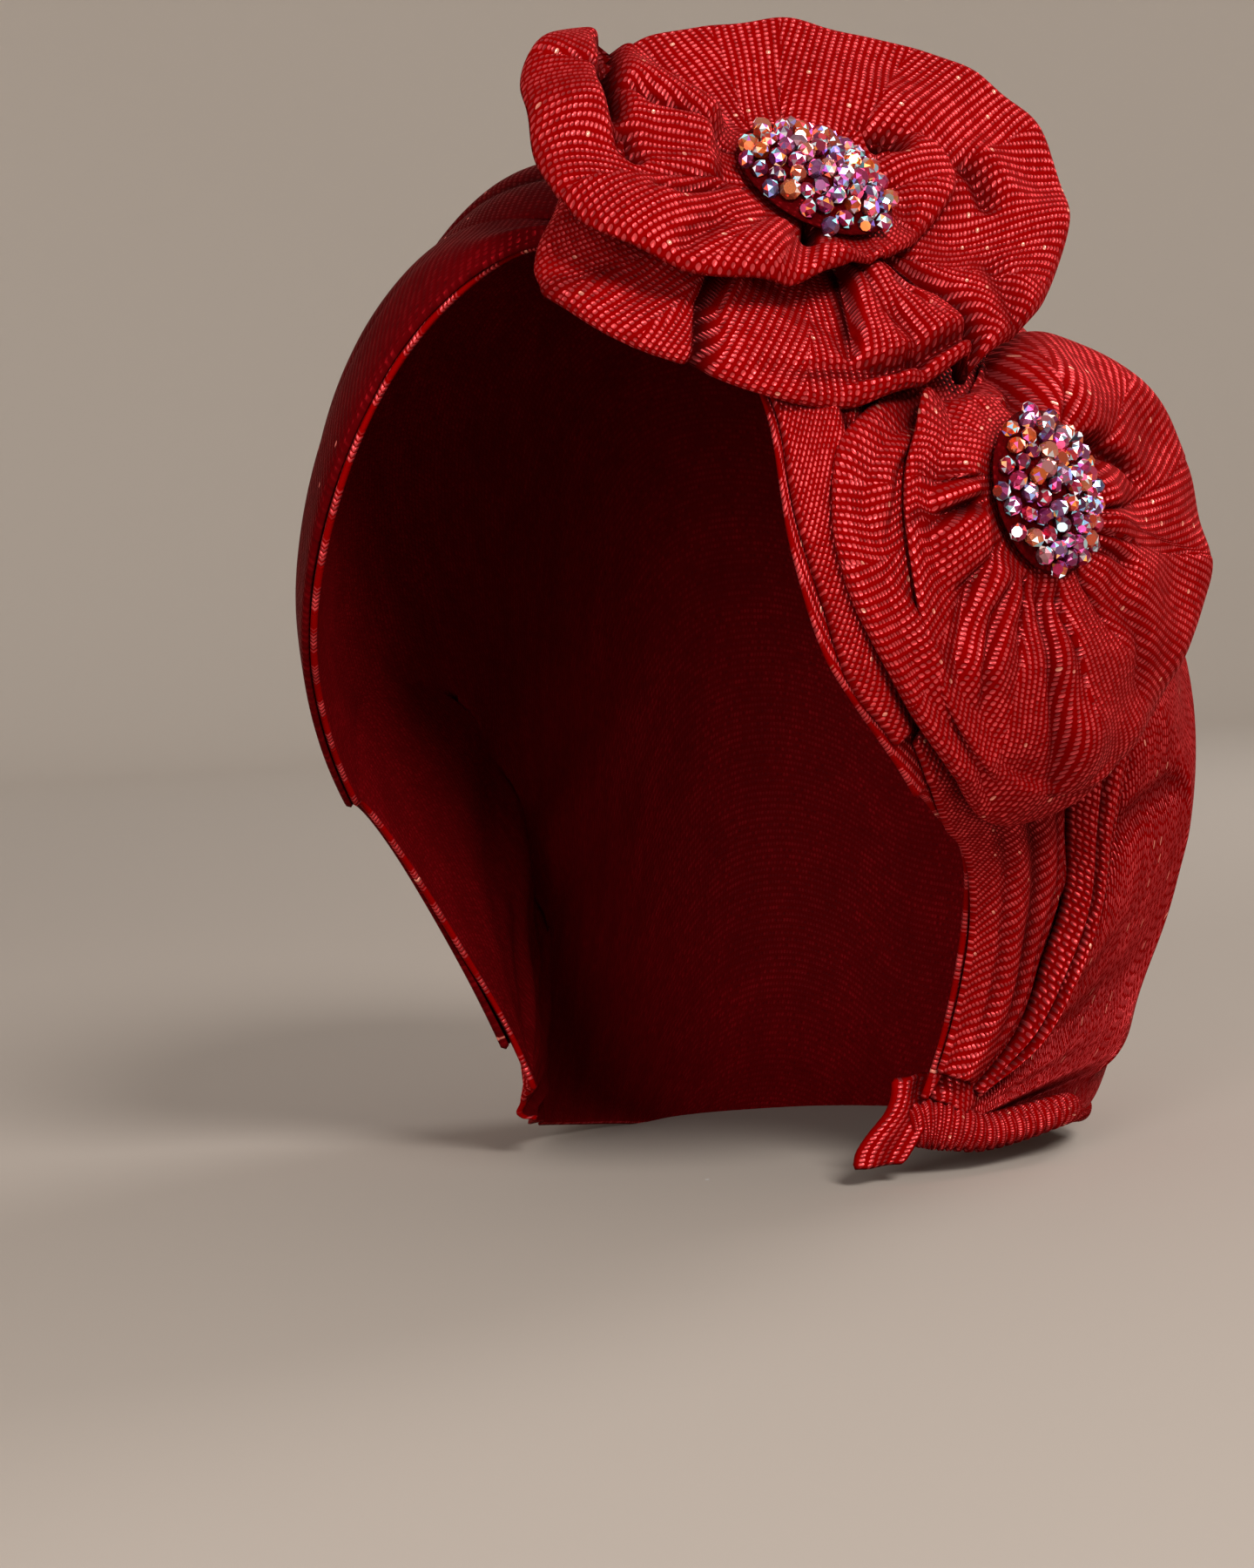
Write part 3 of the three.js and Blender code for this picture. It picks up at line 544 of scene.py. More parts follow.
@dataclass
class Strip:
    """A fold of cloth that lies on the cap.

    Attributes:
        name: the piece's name.
        node: the CAD node that it stands for.
        slot: the material slot of its cloth.
        flat: its flat width and length in metres.
        sections: for each place round the cap, the tilts of its two edges and how far it bulges.
        creases: grooves along it, each with its share of the width at the start and at the end of
            the strip, its depth and width, and the shares of the length between which it is.
        turn: the angle between its ribs and the line across it, in degrees.
        ripple: how deep its small wrinkles are, in millimetres.
        seed: the seed of those wrinkles.
        shade: how much painted shade a crease gets for each millimetre of its depth, as a share of the
            light.
        wide: how many points it has across.
        long: how many points it has along.
    """

    name: str
    node: str
    slot: Slot
    flat: tuple[float, float]
    sections: Table
    creases: Table
    turn: float = 0.0
    ripple: float = 0.5
    seed: int = 1
    shade: float = 0.42
    wide: int = 44
    long: int = 170

    def crease_depth(self, share: np.ndarray) -> np.ndarray:
        """How deep the strip's creases are at shares of its width, along its whole length."""
        along = np.linspace(0, 1, self.long)[None, :]
        depth = np.zeros(share.shape)
        for start, end, deep, width, begins, ends in zip(*self.creases.values()):
            middle = start + (end - start) * along
            fade = smooth_step(begins, begins + 0.15, along) * (1 - smooth_step(ends - 0.15, ends, along))
            depth += deep * fade * np.exp(-(((share - middle) / width) ** 2))
        return depth

    def build(self, material: bpy.types.Material) -> bpy.types.Object:
        """Makes the strip.

        Args:
            material: its cloth.

        Returns:
            The piece.
        """
        stops = self.sections["around"]
        around = np.linspace(stops[0], stops[-1], self.long)[None, :].repeat(self.wide, axis=0)
        section = sample(self.sections, around)
        share = np.linspace(0, 1, self.wide)[:, None].repeat(self.long, axis=1)
        tilt = section["front"] + (section["back"] - section["front"]) * share
        swell = section["bulge"] * np.sin(np.pi * share)
        noise = SmoothNoise(self.seed, 16, 2.5)(share * 1.6, around * 9)
        fade = np.sin(np.pi * share) ** 0.5
        seat = CLOTH_WALL + GAP * (0.2 + 0.8 * fade)
        crease = self.crease_depth(share)
        lift = seat + swell + self.ripple * (noise + 1) * fade
        lift = np.maximum(lift - crease, seat)
        outer = CAP.point(tilt, around, lift + CLOTH_WALL)
        inner = CAP.point(tilt, around, lift)
        weave = turned(CAP.weave(tilt, around), self.turn)
        # Painted shade along the creases.
        cloth = sheet_surface(outer, inner, weave).paint_fold_shade(self.shade * crease)
        piece = cloth.to_object(self.name, material)
        finish_sheet(piece, self.node, self.flat)
        return piece


STRIPS = (
    Strip("brow_band", "front_band", Slot.PLAIN, (0.034, 0.27), table(
        STRIP_COLUMNS,
        (-0.95, -12, 4, 0.44), (-0.62, -31, -16, 0.66), (-0.42, -33.5, -18, 0.88),
        (-0.32, -32, -15.5, 1.76), (-0.25, -30, -14, 1.98), (-0.19, -27.5, -14, 1.76),
        (-0.14, -25, -14.1, 1.5), (-0.09, -22.9, -15.5, 1.1), (-0.04, -21, -16.7, 0.8),
        (0.01, -19.8, -17.8, 0.44), (0.06, -20.1, -18.4, 0.44),
    ), ripple=0.4, seed=3, creases=table(
        STRIP_CREASES, (0.3, 0.62, 1.3, 0.06, 0.2, 0.85), (0.6, 0.9, 1.2, 0.05, 0, 0.75),
    )),
    Strip("crossed_band", "band_fold", Slot.PLAIN, (0.05, 0.15), table(
        STRIP_COLUMNS,
        (-0.34, -13.3, -5, 0.66), (-0.25, -13.4, -3, 1.32), (-0.19, -13.4, -2, 1.54),
        (-0.14, -14.4, -1, 1.54), (-0.09, -16, -0.5, 1.54), (-0.04, -17, 0, 1.43),
        (0.01, -17.3, 0, 1.32), (0.06, -17.9, 0, 1.1), (0.08, -18.1, 0, 0.88), (0.16, -19, -2, 0.66),
    ), ripple=0.5, seed=4, creases=table(
        STRIP_CREASES, (0.34, 0.26, 2.2, 0.045, 0, 1), (0.6, 0.5, 1.8, 0.05, 0, 1),
        (0.82, 0.75, 1.5, 0.05, 0, 0.95),
    )),
    Strip("temple_wrap", "temple_fold", Slot.RIBBED, (0.026, 0.08), table(
        STRIP_COLUMNS,
        (0.25, -22, -14, 1), (0.31, -24.5, -15.5, 2), (0.36, -28.5, -18, 3.4),
        (0.42, -31.5, -22.5, 3.6), (0.48, -33.7, -27, 2.4), (0.56, -32.5, -28, 0.8),
    ), turn=-35, ripple=0.4, seed=5, creases=table(STRIP_CREASES, (0.6, 0.75, 1.6, 0.08, 0.15, 0.9))),
    Strip("cheek_wrap", "cheek_panel", Slot.RIBBED, (0.045, 0.08), table(
        STRIP_COLUMNS,
        (0.58, -30, 0, 1), (0.68, -28.5, 3, 1.6), (0.75, -24.5, 8, 2.5), (0.79, -18.5, 13.5, 3),
        (0.83, -12, 24, 3), (0.87, -5, 30, 3), (0.91, 0.5, 40, 3), (0.97, 8, 43, 2),
    ), turn=-35, ripple=0.8, seed=6, creases=table(
        STRIP_CREASES, (0.25, 0.75, 1.6, 0.09, 0.1, 0.95), (0.75, 0.95, 1.2, 0.06, 0.3, 1),
        (0.1, 0.35, 1.0, 0.06, 0.4, 1),
    )),
    Strip("side_fold", "side_pleat", Slot.RIBBED, (0.035, 0.08), table(
        STRIP_COLUMNS,
        (0.58, 2.5, 14, 4), (0.68, 6, 18, 5), (0.75, 11, 23, 6), (0.79, 16.5, 28.5, 6),
        (0.83, 27, 38, 5), (0.87, 33.5, 45, 5), (0.91, 44, 53, 4), (0.97, 48, 57, 1.5),
    ), ripple=0.5, seed=7, creases=table(
        STRIP_CREASES, (0.3, 0.35, 1.8, 0.07, 0.3, 1), (0.65, 0.6, 1.4, 0.05, 0.2, 0.9),
    )),
)


@dataclass
class NapeRoll:
    """The gathered roll of cloth under the bag.

    Attributes:
        steps: how many rings of points it has.
        sides: how many points each ring has.
        gathers: how many gathers run across it.
        gather_depth: how deep they are, as a share of its thickness.
        girth: how much cloth goes round it, before it is gathered.
        length: how much cloth goes along it, before it is gathered.
        sections: for each place along it, its middle, its half height and its half thickness.
    """

    steps: int = 220
    sides: int = 40
    gathers: int = 16
    gather_depth: float = 0.1
    girth: float = 36
    length: float = 110
    sections: Table = field(default_factory=lambda: table(
        "along x y z high thick",
        (0, 52.9, 72.7, -207, 2.4, 2.2), (15, 61, 61.5, -205.6, 2.9, 2.8),
        (30, 64, 46.5, -203.2, 3.1, 3.2), (38, 64, 38.8, -202.8, 3.2, 3.2),
        (48, 59.6, 29.5, -203.8, 3.5, 3.1), (59, 54.2, 19.5, -204.2, 3.8, 2.7),
        (66, 50.3, 14, -202.3, 4.7, 2.3), (73, 46.3, 10.4, -201.2, 4.9, 2),
        (78, 43.6, 6.8, -201.4, 3.8, 1.6),
    ))

    def build(self, material: bpy.types.Material) -> bpy.types.Object:
        """Makes the roll.

        Args:
            material: the ribbed cloth.

        Returns:
            The piece.
        """
        section = sample(self.sections, np.linspace(0, self.sections["along"][-1], self.steps))
        centre = np.stack([section[axis] for axis in "xyz"], -1)
        ahead = unit(np.gradient(centre, axis=0))
        down = np.array([0, 0, -1.0]) + ahead * ahead[:, 2:]
        down = unit(down)
        out = np.cross(down, ahead)
        share = np.linspace(0, 1, self.steps)
        turn = np.linspace(0, 2 * np.pi, self.sides, endpoint=False)
        twist = 0.8 * np.sin(turn * 2 + share[:, None] * 9)
        wave = np.cos(2 * np.pi * self.gathers * share[:, None] + 1.2 * turn + twist)
        gather = 1 + self.gather_depth * (1 - 2 * np.abs(wave) ** 3)
        high = section["high"][:, None] * gather * np.cos(turn)
        thick = section["thick"][:, None] * gather * np.sin(turn)
        rings = centre[:, None] + down[:, None] * high[..., None] + out[:, None] * thick[..., None]
        girth = np.linspace(0, self.girth, self.sides + 1)
        length = np.linspace(0, self.length, self.steps)
        weave = np.stack(np.meshgrid(length, girth, indexing="ij"), -1)
        piece = tube_surface(rings, weave_of(weave)).to_object("bag_roll", material)
        finish_sheet(piece, "nape_roll", (0.012, 0.078))
        return piece


@dataclass
class NapeTail:
    """The short end of cloth that hangs at the nape.

    Attributes:
        rows: how many rows of points it has, from its lower edge up.
        columns: how many points each row has.
        wave: how far it waves in and out.
        breadth: how much cloth goes across it.
        sections: for each drop below the frame's origin, where its two edges are.
    """

    rows: int = 40
    columns: int = 40
    wave: float = 0.9
    breadth: float = 9
    sections: Table = field(default_factory=lambda: table(
        "drop front_x front_y back_x back_y",
        (192, 39.5, 8.5, 44, 18), (195, 40, 6.5, 44.5, 14), (198, 39.5, 4, 46, 11.5),
        (201.5, 37.5, 0, 45.5, 8), (205, 35.5, -2, 44, 6), (208, 35, -3, 42.5, 4),
    ))

    def build(self, material: bpy.types.Material) -> bpy.types.Object:
        """Makes the end of cloth.

        Args:
            material: the ribbed cloth.

        Returns:
            The piece.
        """
        drops = self.sections["drop"]
        drop = np.linspace(drops[-1], drops[0], self.rows)[:, None].repeat(self.columns, axis=1)
        section = sample(self.sections, drop)
        share = np.linspace(0, 1, self.columns)[None, :]
        wide_x = section["back_x"] - section["front_x"]
        wide_y = section["back_y"] - section["front_y"]
        across = unit(np.stack([wide_x, wide_y], -1))

        def face(out: float) -> np.ndarray:
            """One face of the cloth, at a distance out of its inner face."""
            off = out + self.wave * np.sin(2 * np.pi * share)
            x = section["front_x"] + wide_x * share + off * across[..., 1]
            y = section["front_y"] + wide_y * share - off * across[..., 0]
            return np.stack([x, y, -drop], -1)

        weave = np.stack([share.repeat(self.rows, axis=0) * self.breadth, drop], -1)
        piece = sheet_surface(face(CLOTH_WALL), face(0), weave).to_object("nape_end", material)
        finish_sheet(piece, "nape_tail", (0.013, 0.02))
        return piece


@dataclass
class RosetteFrame:
    """A rosette's own axes.

    Attributes:
        heart: the middle of its base.
        face: the way that it looks.
        zero: the way that angle 0 lies, before it is laid level with the base.
    """

    heart: tuple[float, float, float]
    face: tuple[float, float, float]
    zero: tuple[float, float, float] = PICTURE_RIGHT

    def axes(self) -> tuple[np.ndarray, np.ndarray, np.ndarray]:
        """The directions of angle 0, of angle 90 and of the face."""
        normal = unit(np.array(self.face))
        zero = np.array(self.zero)
        u = unit(zero - normal * zero.dot(normal))
        return u, np.cross(normal, u), normal

    def place(self, angle: np.ndarray, radius: np.ndarray, height: np.ndarray) -> np.ndarray:
        """Points at an angle in degrees, a radius and a height over the base."""
        u, v, normal = self.axes()
        turn = np.radians(angle)
        across = radius * np.cos(turn)
        up = radius * np.sin(turn)
        return np.array(self.heart) + across[..., None] * u + up[..., None] * v + height[..., None] * normal


TOP_FRAME = RosetteFrame((40, -31, -25), (0.65, -0.36, 0.67))
SIDE_FRAME = RosetteFrame((71, -16, -77), (0.945, -0.285, 0.15))
# The tuck of a rim fades over TUCK_FADE degrees and starts at TUCK_FROM of the radius. The third
# number is the depth in millimetres at which a fold's painted shade is full.
TUCK_FADE = 15.0
TUCK_FROM = 0.78
FULL_PAINTED_SHADE_DEPTH = 5.0


def soft_max(a: np.ndarray, b: np.ndarray, round_off: float = 0.6) -> np.ndarray:
    """The greater of two heights, with their meeting rounded off upward."""
    return (a + b + np.sqrt((a - b) ** 2 + round_off * round_off)) / 2


@dataclass
class Pleats:
    """The gathers that run from a rosette's heart outward.

    Attributes:
        count: how many there are.
        depth: how deep the valleys between them are at the heart, in millimetres.
        swirl: how far they turn on their way in, in degrees.
        reach: the share of the radius at which they have faded.
        seed: the seed of their widths and depths.
        waver: how far they wander to either side, in degrees.
        shade: the painted shade of the deepest valley, as a share of the light.
    """

    count: int
    depth: float
    swirl: float
    reach: float
    seed: int
    waver: float = 4
    shade: float = 0.75

    def __post_init__(self) -> None:
        """Draws their widths, depths and slants."""
        draw = np.random.default_rng(self.seed)
        widths = draw.uniform(0.55, 1.45, self.count)
        self.valleys = np.concatenate([[0], np.cumsum(widths) / widths.sum() * 360])
        self.depths = draw.uniform(0.35, 1.25, self.count)
        self.slants = draw.uniform(0.6, 1.5, self.count)
        self.reaches = draw.uniform(0.7, 1.25, self.count)
        self.wobble = SmoothNoise(self.seed + 50, 10)

    def where(self, angle: np.ndarray, share: np.ndarray) -> tuple[np.ndarray, np.ndarray]:
        """Which pleat each place is on, and how far across it, from 0 to 1."""
        waver = self.waver * self.wobble(angle / 160, share * 0.35) * (1 - share)
        place = (angle + self.swirl * (1 - share) ** 1.4 + waver) % 360
        index = np.clip(np.searchsorted(self.valleys, place, side="right") - 1, 0, self.count - 1)
        width = self.valleys[index + 1] - self.valleys[index]
        return index, (place - self.valleys[index]) / width

    def height(self, angle: np.ndarray, share: np.ndarray) -> np.ndarray:
        """How far the pleats rise over their valleys, less their depth."""
        index, across = self.where(angle, share)
        bent = across ** self.slants[index]
        ridge = 1 - np.abs(2 * bent - 1) ** 2.8
        grow = 1 - smooth_step(0.3, 1.0, share / (self.reach * self.reaches[index]))
        return self.depth * self.depths[index] * grow * (ridge - 1)

    def dark(self, angle: np.ndarray, share: np.ndarray) -> np.ndarray:
        """How much painted shade the valleys between the pleats get, as a share of the light."""
        index, across = self.where(angle, share)
        grow = 1 - smooth_step(0.25, 0.85, share / (self.reach * self.reaches[index]))
        return self.shade * grow * self.depths[index] * (2 * np.abs(across - 0.5)) ** 9


@dataclass(frozen=True)
class Fold:
    """A fold in a ruffle, along a line in the rosette's plane, in millimetres from its heart.

    Attributes:
        line: the places that it passes, across and up.
        depth: how deep its groove is.
        width: how wide the groove is.
        lip: how high the cloth rises beside it, on the left of its way.
        spread: how far that rise reaches.
        right: whether the rise is on the right instead.
        open_end: whether it keeps its depth to the end of the line.
        step: how far from the line the rise reaches most of its height.
    """

    line: tuple[tuple[float, float], ...]
    depth: float
    width: float
    lip: float = 0.0
    spread: float = 6.0
    right: bool = False
    open_end: bool = False
    step: float = 1.9

    def near(self, x: np.ndarray, y: np.ndarray) -> tuple[np.ndarray, np.ndarray, np.ndarray]:
        """The distance of places x, y from its line, their side of it, and its strength there."""
        line = np.array(self.line, float)
        lengths = np.linalg.norm(np.diff(line, axis=0), axis=1)
        before = np.concatenate([[0], np.cumsum(lengths)])
        nearest = np.full(x.shape, 1e9)
        side, travel = np.zeros(x.shape), np.zeros(x.shape)
        for (ax, ay), (bx, by), length, start in zip(line, line[1:], lengths, before):
            ux, uy = (bx - ax) / length, (by - ay) / length
            along = np.clip((x - ax) * ux + (y - ay) * uy, 0, length)
            dx, dy = x - ax - along * ux, y - ay - along * uy
            off = np.hypot(dx, dy)
            closer = off < nearest
            nearest = np.where(closer, off, nearest)
            side = np.where(closer, np.sign(ux * dy - uy * dx), side)
            travel = np.where(closer, (start + along) / before[-1], travel)
        if self.right:
            side = -side
        fade = smooth_step(0, 0.25, travel)
        if not self.open_end:
            fade = fade * (1 - smooth_step(0.7, 1, travel))
        return nearest, side, fade

    def height(self, x: np.ndarray, y: np.ndarray) -> np.ndarray:
        """What it adds to the height at places x, y."""
        nearest, side, fade = self.near(x, y)
        groove = -self.depth * np.exp(-((nearest / self.width) ** 2))
        rise = self.lip * (1 - np.exp(-nearest / self.step))
        rise = rise * np.exp(-((nearest / self.spread) ** 2)) * (side > 0)
        return (groove + rise) * fade

    def dark(self, x: np.ndarray, y: np.ndarray) -> np.ndarray:
        """How much painted shade its groove puts on places x, y, as a share of the light."""
        nearest, _, fade = self.near(x, y)
        return min(self.depth / FULL_PAINTED_SHADE_DEPTH, 1) * np.exp(-((nearest / (0.8 * self.width + 0.3)) ** 2)) * fade


@dataclass
class Ruffle:
    """One doubled sheet of a rosette, with a folded rim.

    Attributes:
        name: the piece's name.
        node: the CAD node that it stands for.
        frame: the rosette's axes.
        heart: the height of its middle.
        seat: the greatest height under the stones.
        flat: its flat width and length in metres.
        sections: for each angle, the radius, the heights of the rim and of the cloth half way
            out, the least lift off the cap and the thickness, and where the cloth rolls over near
            its rim, the height of that roll and how far in it is.
        creases: grooves that run outward along an angle.
        pleats: the gathers from its heart.
        under: the ruffle that it lies on.
        folds: the folds that the gathers end in.
        rim_round: how far in from the rim the cloth starts to roll down.
        rim_drop: how far it rolls down there.
        thin: the share of the solid's thickness that the cloth has.
        tuck: how far its rim sinks into the ruffle under it, and the angles between which it does.
        buckle: how high the slow waves of the cloth are.
        seed: the seed of its waves.
        belly_at: how far out the cloth's half-way height is, as a share of the radius.
        seat_radius: how far out the stones reach.
        hole: the radius at which the cloth starts, under the stones.
        crowding: the power by which its rings of points stand closer towards the rim.
        sectors: how many points each ring has.
        top_rings: how many rings its top face has.
        rim_steps: how many rings go round its rim.
        low_rings: how many rings its lower face has.
    """

    name: str
    node: str
    frame: RosetteFrame
    heart: float
    seat: float
    flat: tuple[float, float]
    sections: Table
    creases: Table
    pleats: Pleats
    under: "Ruffle | None" = None
    folds: tuple[Fold, ...] = ()
    rim_round: float = 5.0
    rim_drop: float = 2.0
    thin: float = 1.0
    tuck: tuple[float, float, float] = (0.0, 0.0, 360.0)
    buckle: float = 0.7
    seed: int = 1
    belly_at: float = 0.55
    seat_radius: float = 18.6
    hole: float = 6.0
    crowding: float = 0.85
    sectors: int = 440
    top_rings: int = 112
    rim_steps: int = 9
    low_rings: int = 12

    def __post_init__(self) -> None:
        """Wraps its table and draws its small waves."""
        self.rows = wrapped(self.sections)
        self.rows["wall"] = self.rows["wall"] * self.thin
        self.waves = SmoothNoise(self.seed, 16)
        self.swell = SmoothNoise(self.seed + 5, 12)

    def base_height(self, section: Table, angle: np.ndarray, share: np.ndarray) -> np.ndarray:
        """The height of its top face, without gathers and wrinkles."""
        at = self.belly_at
        height = self.heart * ((at - share) * (1 - share)) / at
        height = height + section["belly"] * (share * (1 - share)) / (at * (1 - at))
        height = height + section["edge"] * (share * (share - at)) / (1 - at)
        if "roll" in section:
            off_crest = (1 - share) * section["radius"] - section["roll_in"]
            crest_width = 0.62 * section["roll_in"] + 0.1
            height = height + section["roll"] * np.exp(-((off_crest / crest_width) ** 2))
        for crease_angle, depth, width, start, full, lean in zip(*self.creases.values()):
            off = (angle - crease_angle - lean * share + 900) % 360 - 180
            height = height - depth * smooth_step(start, full, share) * np.exp(-((off / width) ** 2))
        clear = smooth_step(self.seat_radius, self.seat_radius + 5, section["radius"] * share)
        low = np.minimum(height, self.seat)
        return low + (height - low) * clear

    def top(self, angle: np.ndarray, radius: np.ndarray) -> tuple[Table, np.ndarray]:
        """Its cross section and the height of its top face at a radius."""
        section = sample(self.rows, angle)
        share = radius / section["radius"]
        height = self.base_height(section, angle, share)
        return section, height + self.detail(section, angle, np.clip(share, 0, 1))

    def detail(self, section: Table, angle: np.ndarray, share: np.ndarray) -> np.ndarray:
        """The gathers and small wrinkles, which add to its height."""
        radius = section["radius"] * share
        clear = smooth_step(self.seat_radius - 3, self.seat_radius + 3, radius)
        turn = np.radians(angle)
        x, y = radius * np.cos(turn), radius * np.sin(turn)
        soft = self.buckle * self.swell(x / 26, y / 26) + 0.12 * self.waves(x / 16, y / 16)
        folds = sum((fold.height(x, y) for fold in self.folds), np.zeros(x.shape))
        inward = np.clip(1 - (1 - share) * section["radius"] / self.rim_round, 0, 1)
        drop = self.rim_drop * (1 - np.sqrt(np.maximum(1 - inward * inward, 0)))
        return (self.pleats.height(angle, share) + soft) * clear + folds - drop

    def place(self, angle: np.ndarray, radius: np.ndarray, below: np.ndarray) -> np.ndarray:
        """Points on its top face, or below it by a share of its thickness."""
        section, height = self.top(angle, radius)
        if self.under is not None:
            lower_section, lower_height = self.under.top(angle, radius)
            covers = radius < lower_section["radius"] + 2
            lowest = lower_height + GAP / 2 + section["wall"]
            height = np.where(covers, soft_max(height, lowest), height)
            depth, begin, end = self.tuck
            inside = smooth_step(begin - TUCK_FADE, begin, angle)
            inside = inside * (1 - smooth_step(end, end + TUCK_FADE, angle))
            height = height - depth * inside * smooth_step(TUCK_FROM, 1, radius / section["radius"])
        points = self.frame.place(angle, radius, height - below * section["wall"])
        return CAP.rest(points, CLOTH_WALL + section["lift"] + section["wall"] * (1 - below))

    def weave_corners(self, angle: np.ndarray, radius: np.ndarray) -> np.ndarray:
        """Cloth coordinates of each quad's corners, with ribs along each gather up to its valleys."""
        limit = sample(self.rows, angle)["radius"]
        share = np.clip(radius / limit, 0, 1)
        index, across = self.pleats.where(angle, share)
        rim = float(self.sections["radius"].mean())
        valleys = self.pleats.valleys

        pleat, across, radius = (corners_of(grid) for grid in (index, across, radius))
        home = pleat[..., :1]
        width = valleys[home + 1] - valleys[home]
        middle = np.radians((valleys[home] + valleys[home + 1]) / 2)
        half = self.pleats.count / 2
        step = (pleat - home + half) % self.pleats.count - half
        off = np.radians((across + step - 0.5) * width)
        return np.stack([middle * rim + off * radius, radius], -1).reshape(-1, 4, 2)

    def dark(self, angle: np.ndarray, radius: np.ndarray) -> np.ndarray:
        """How much painted shade its folds and gathers put on places on it, as a share of the light."""
        x, y = radius * np.cos(np.radians(angle)), radius * np.sin(np.radians(angle))
        share = np.clip(radius / sample(self.rows, angle)["radius"], 0, 1)
        shades = [fold.dark(x, y) for fold in self.folds]
        return np.maximum.reduce([self.pleats.dark(angle, share), *shades])

    def build(self, material: bpy.types.Material) -> bpy.types.Object:
        """Makes the ruffle.

        Args:
            material: the ribbed cloth.

        Returns:
            The piece.
        """
        turn = np.linspace(0, 360, self.sectors, endpoint=False)[None, :]
        limit = sample(self.rows, turn)["radius"]
        top_share = np.linspace(0, 1, self.top_rings)[:, None] ** self.crowding
        rim = np.linspace(0, np.pi, self.rim_steps + 2)[1:-1, None]
        low_share = np.linspace(1, 0, self.low_rings)[:, None]
        wall = sample(self.rows, turn)["wall"]
        pull = wall / 2
        start, reach = self.hole, limit - pull
        radius = np.concatenate([
            start + (reach - start) * top_share,
            reach + pull * np.sin(rim),
            start + (reach - start) * low_share,
        ])
        below = np.concatenate([
            np.zeros((self.top_rings, 1)),
            (1 - np.cos(rim)) / 2,
            np.ones((self.low_rings, 1)),
        ])
        angle = turn.repeat(len(radius), axis=0)
        rings = self.place(angle, radius, below.repeat(self.sectors, axis=1))
        travel = np.concatenate([
            start + (limit - start) * top_share,
            limit + pull * rim,
            limit + pull * np.pi + (limit - start) * (1 - low_share),
        ])
        corners = self.weave_corners(angle, radius)
        corners[..., 1] = corners_of(travel).reshape(-1, 4)
        # Painted shade along the folds and gathers.
        piece = tube_surface(rings, corners).paint_fold_shade(self.dark(angle, radius)).to_object(self.name, material)
        finish_sheet(piece, self.node, self.flat)
        return piece


RUFFLE_COLUMNS = "angle radius edge belly lift wall"
CREASE_COLUMNS = "angle depth width start full lean"


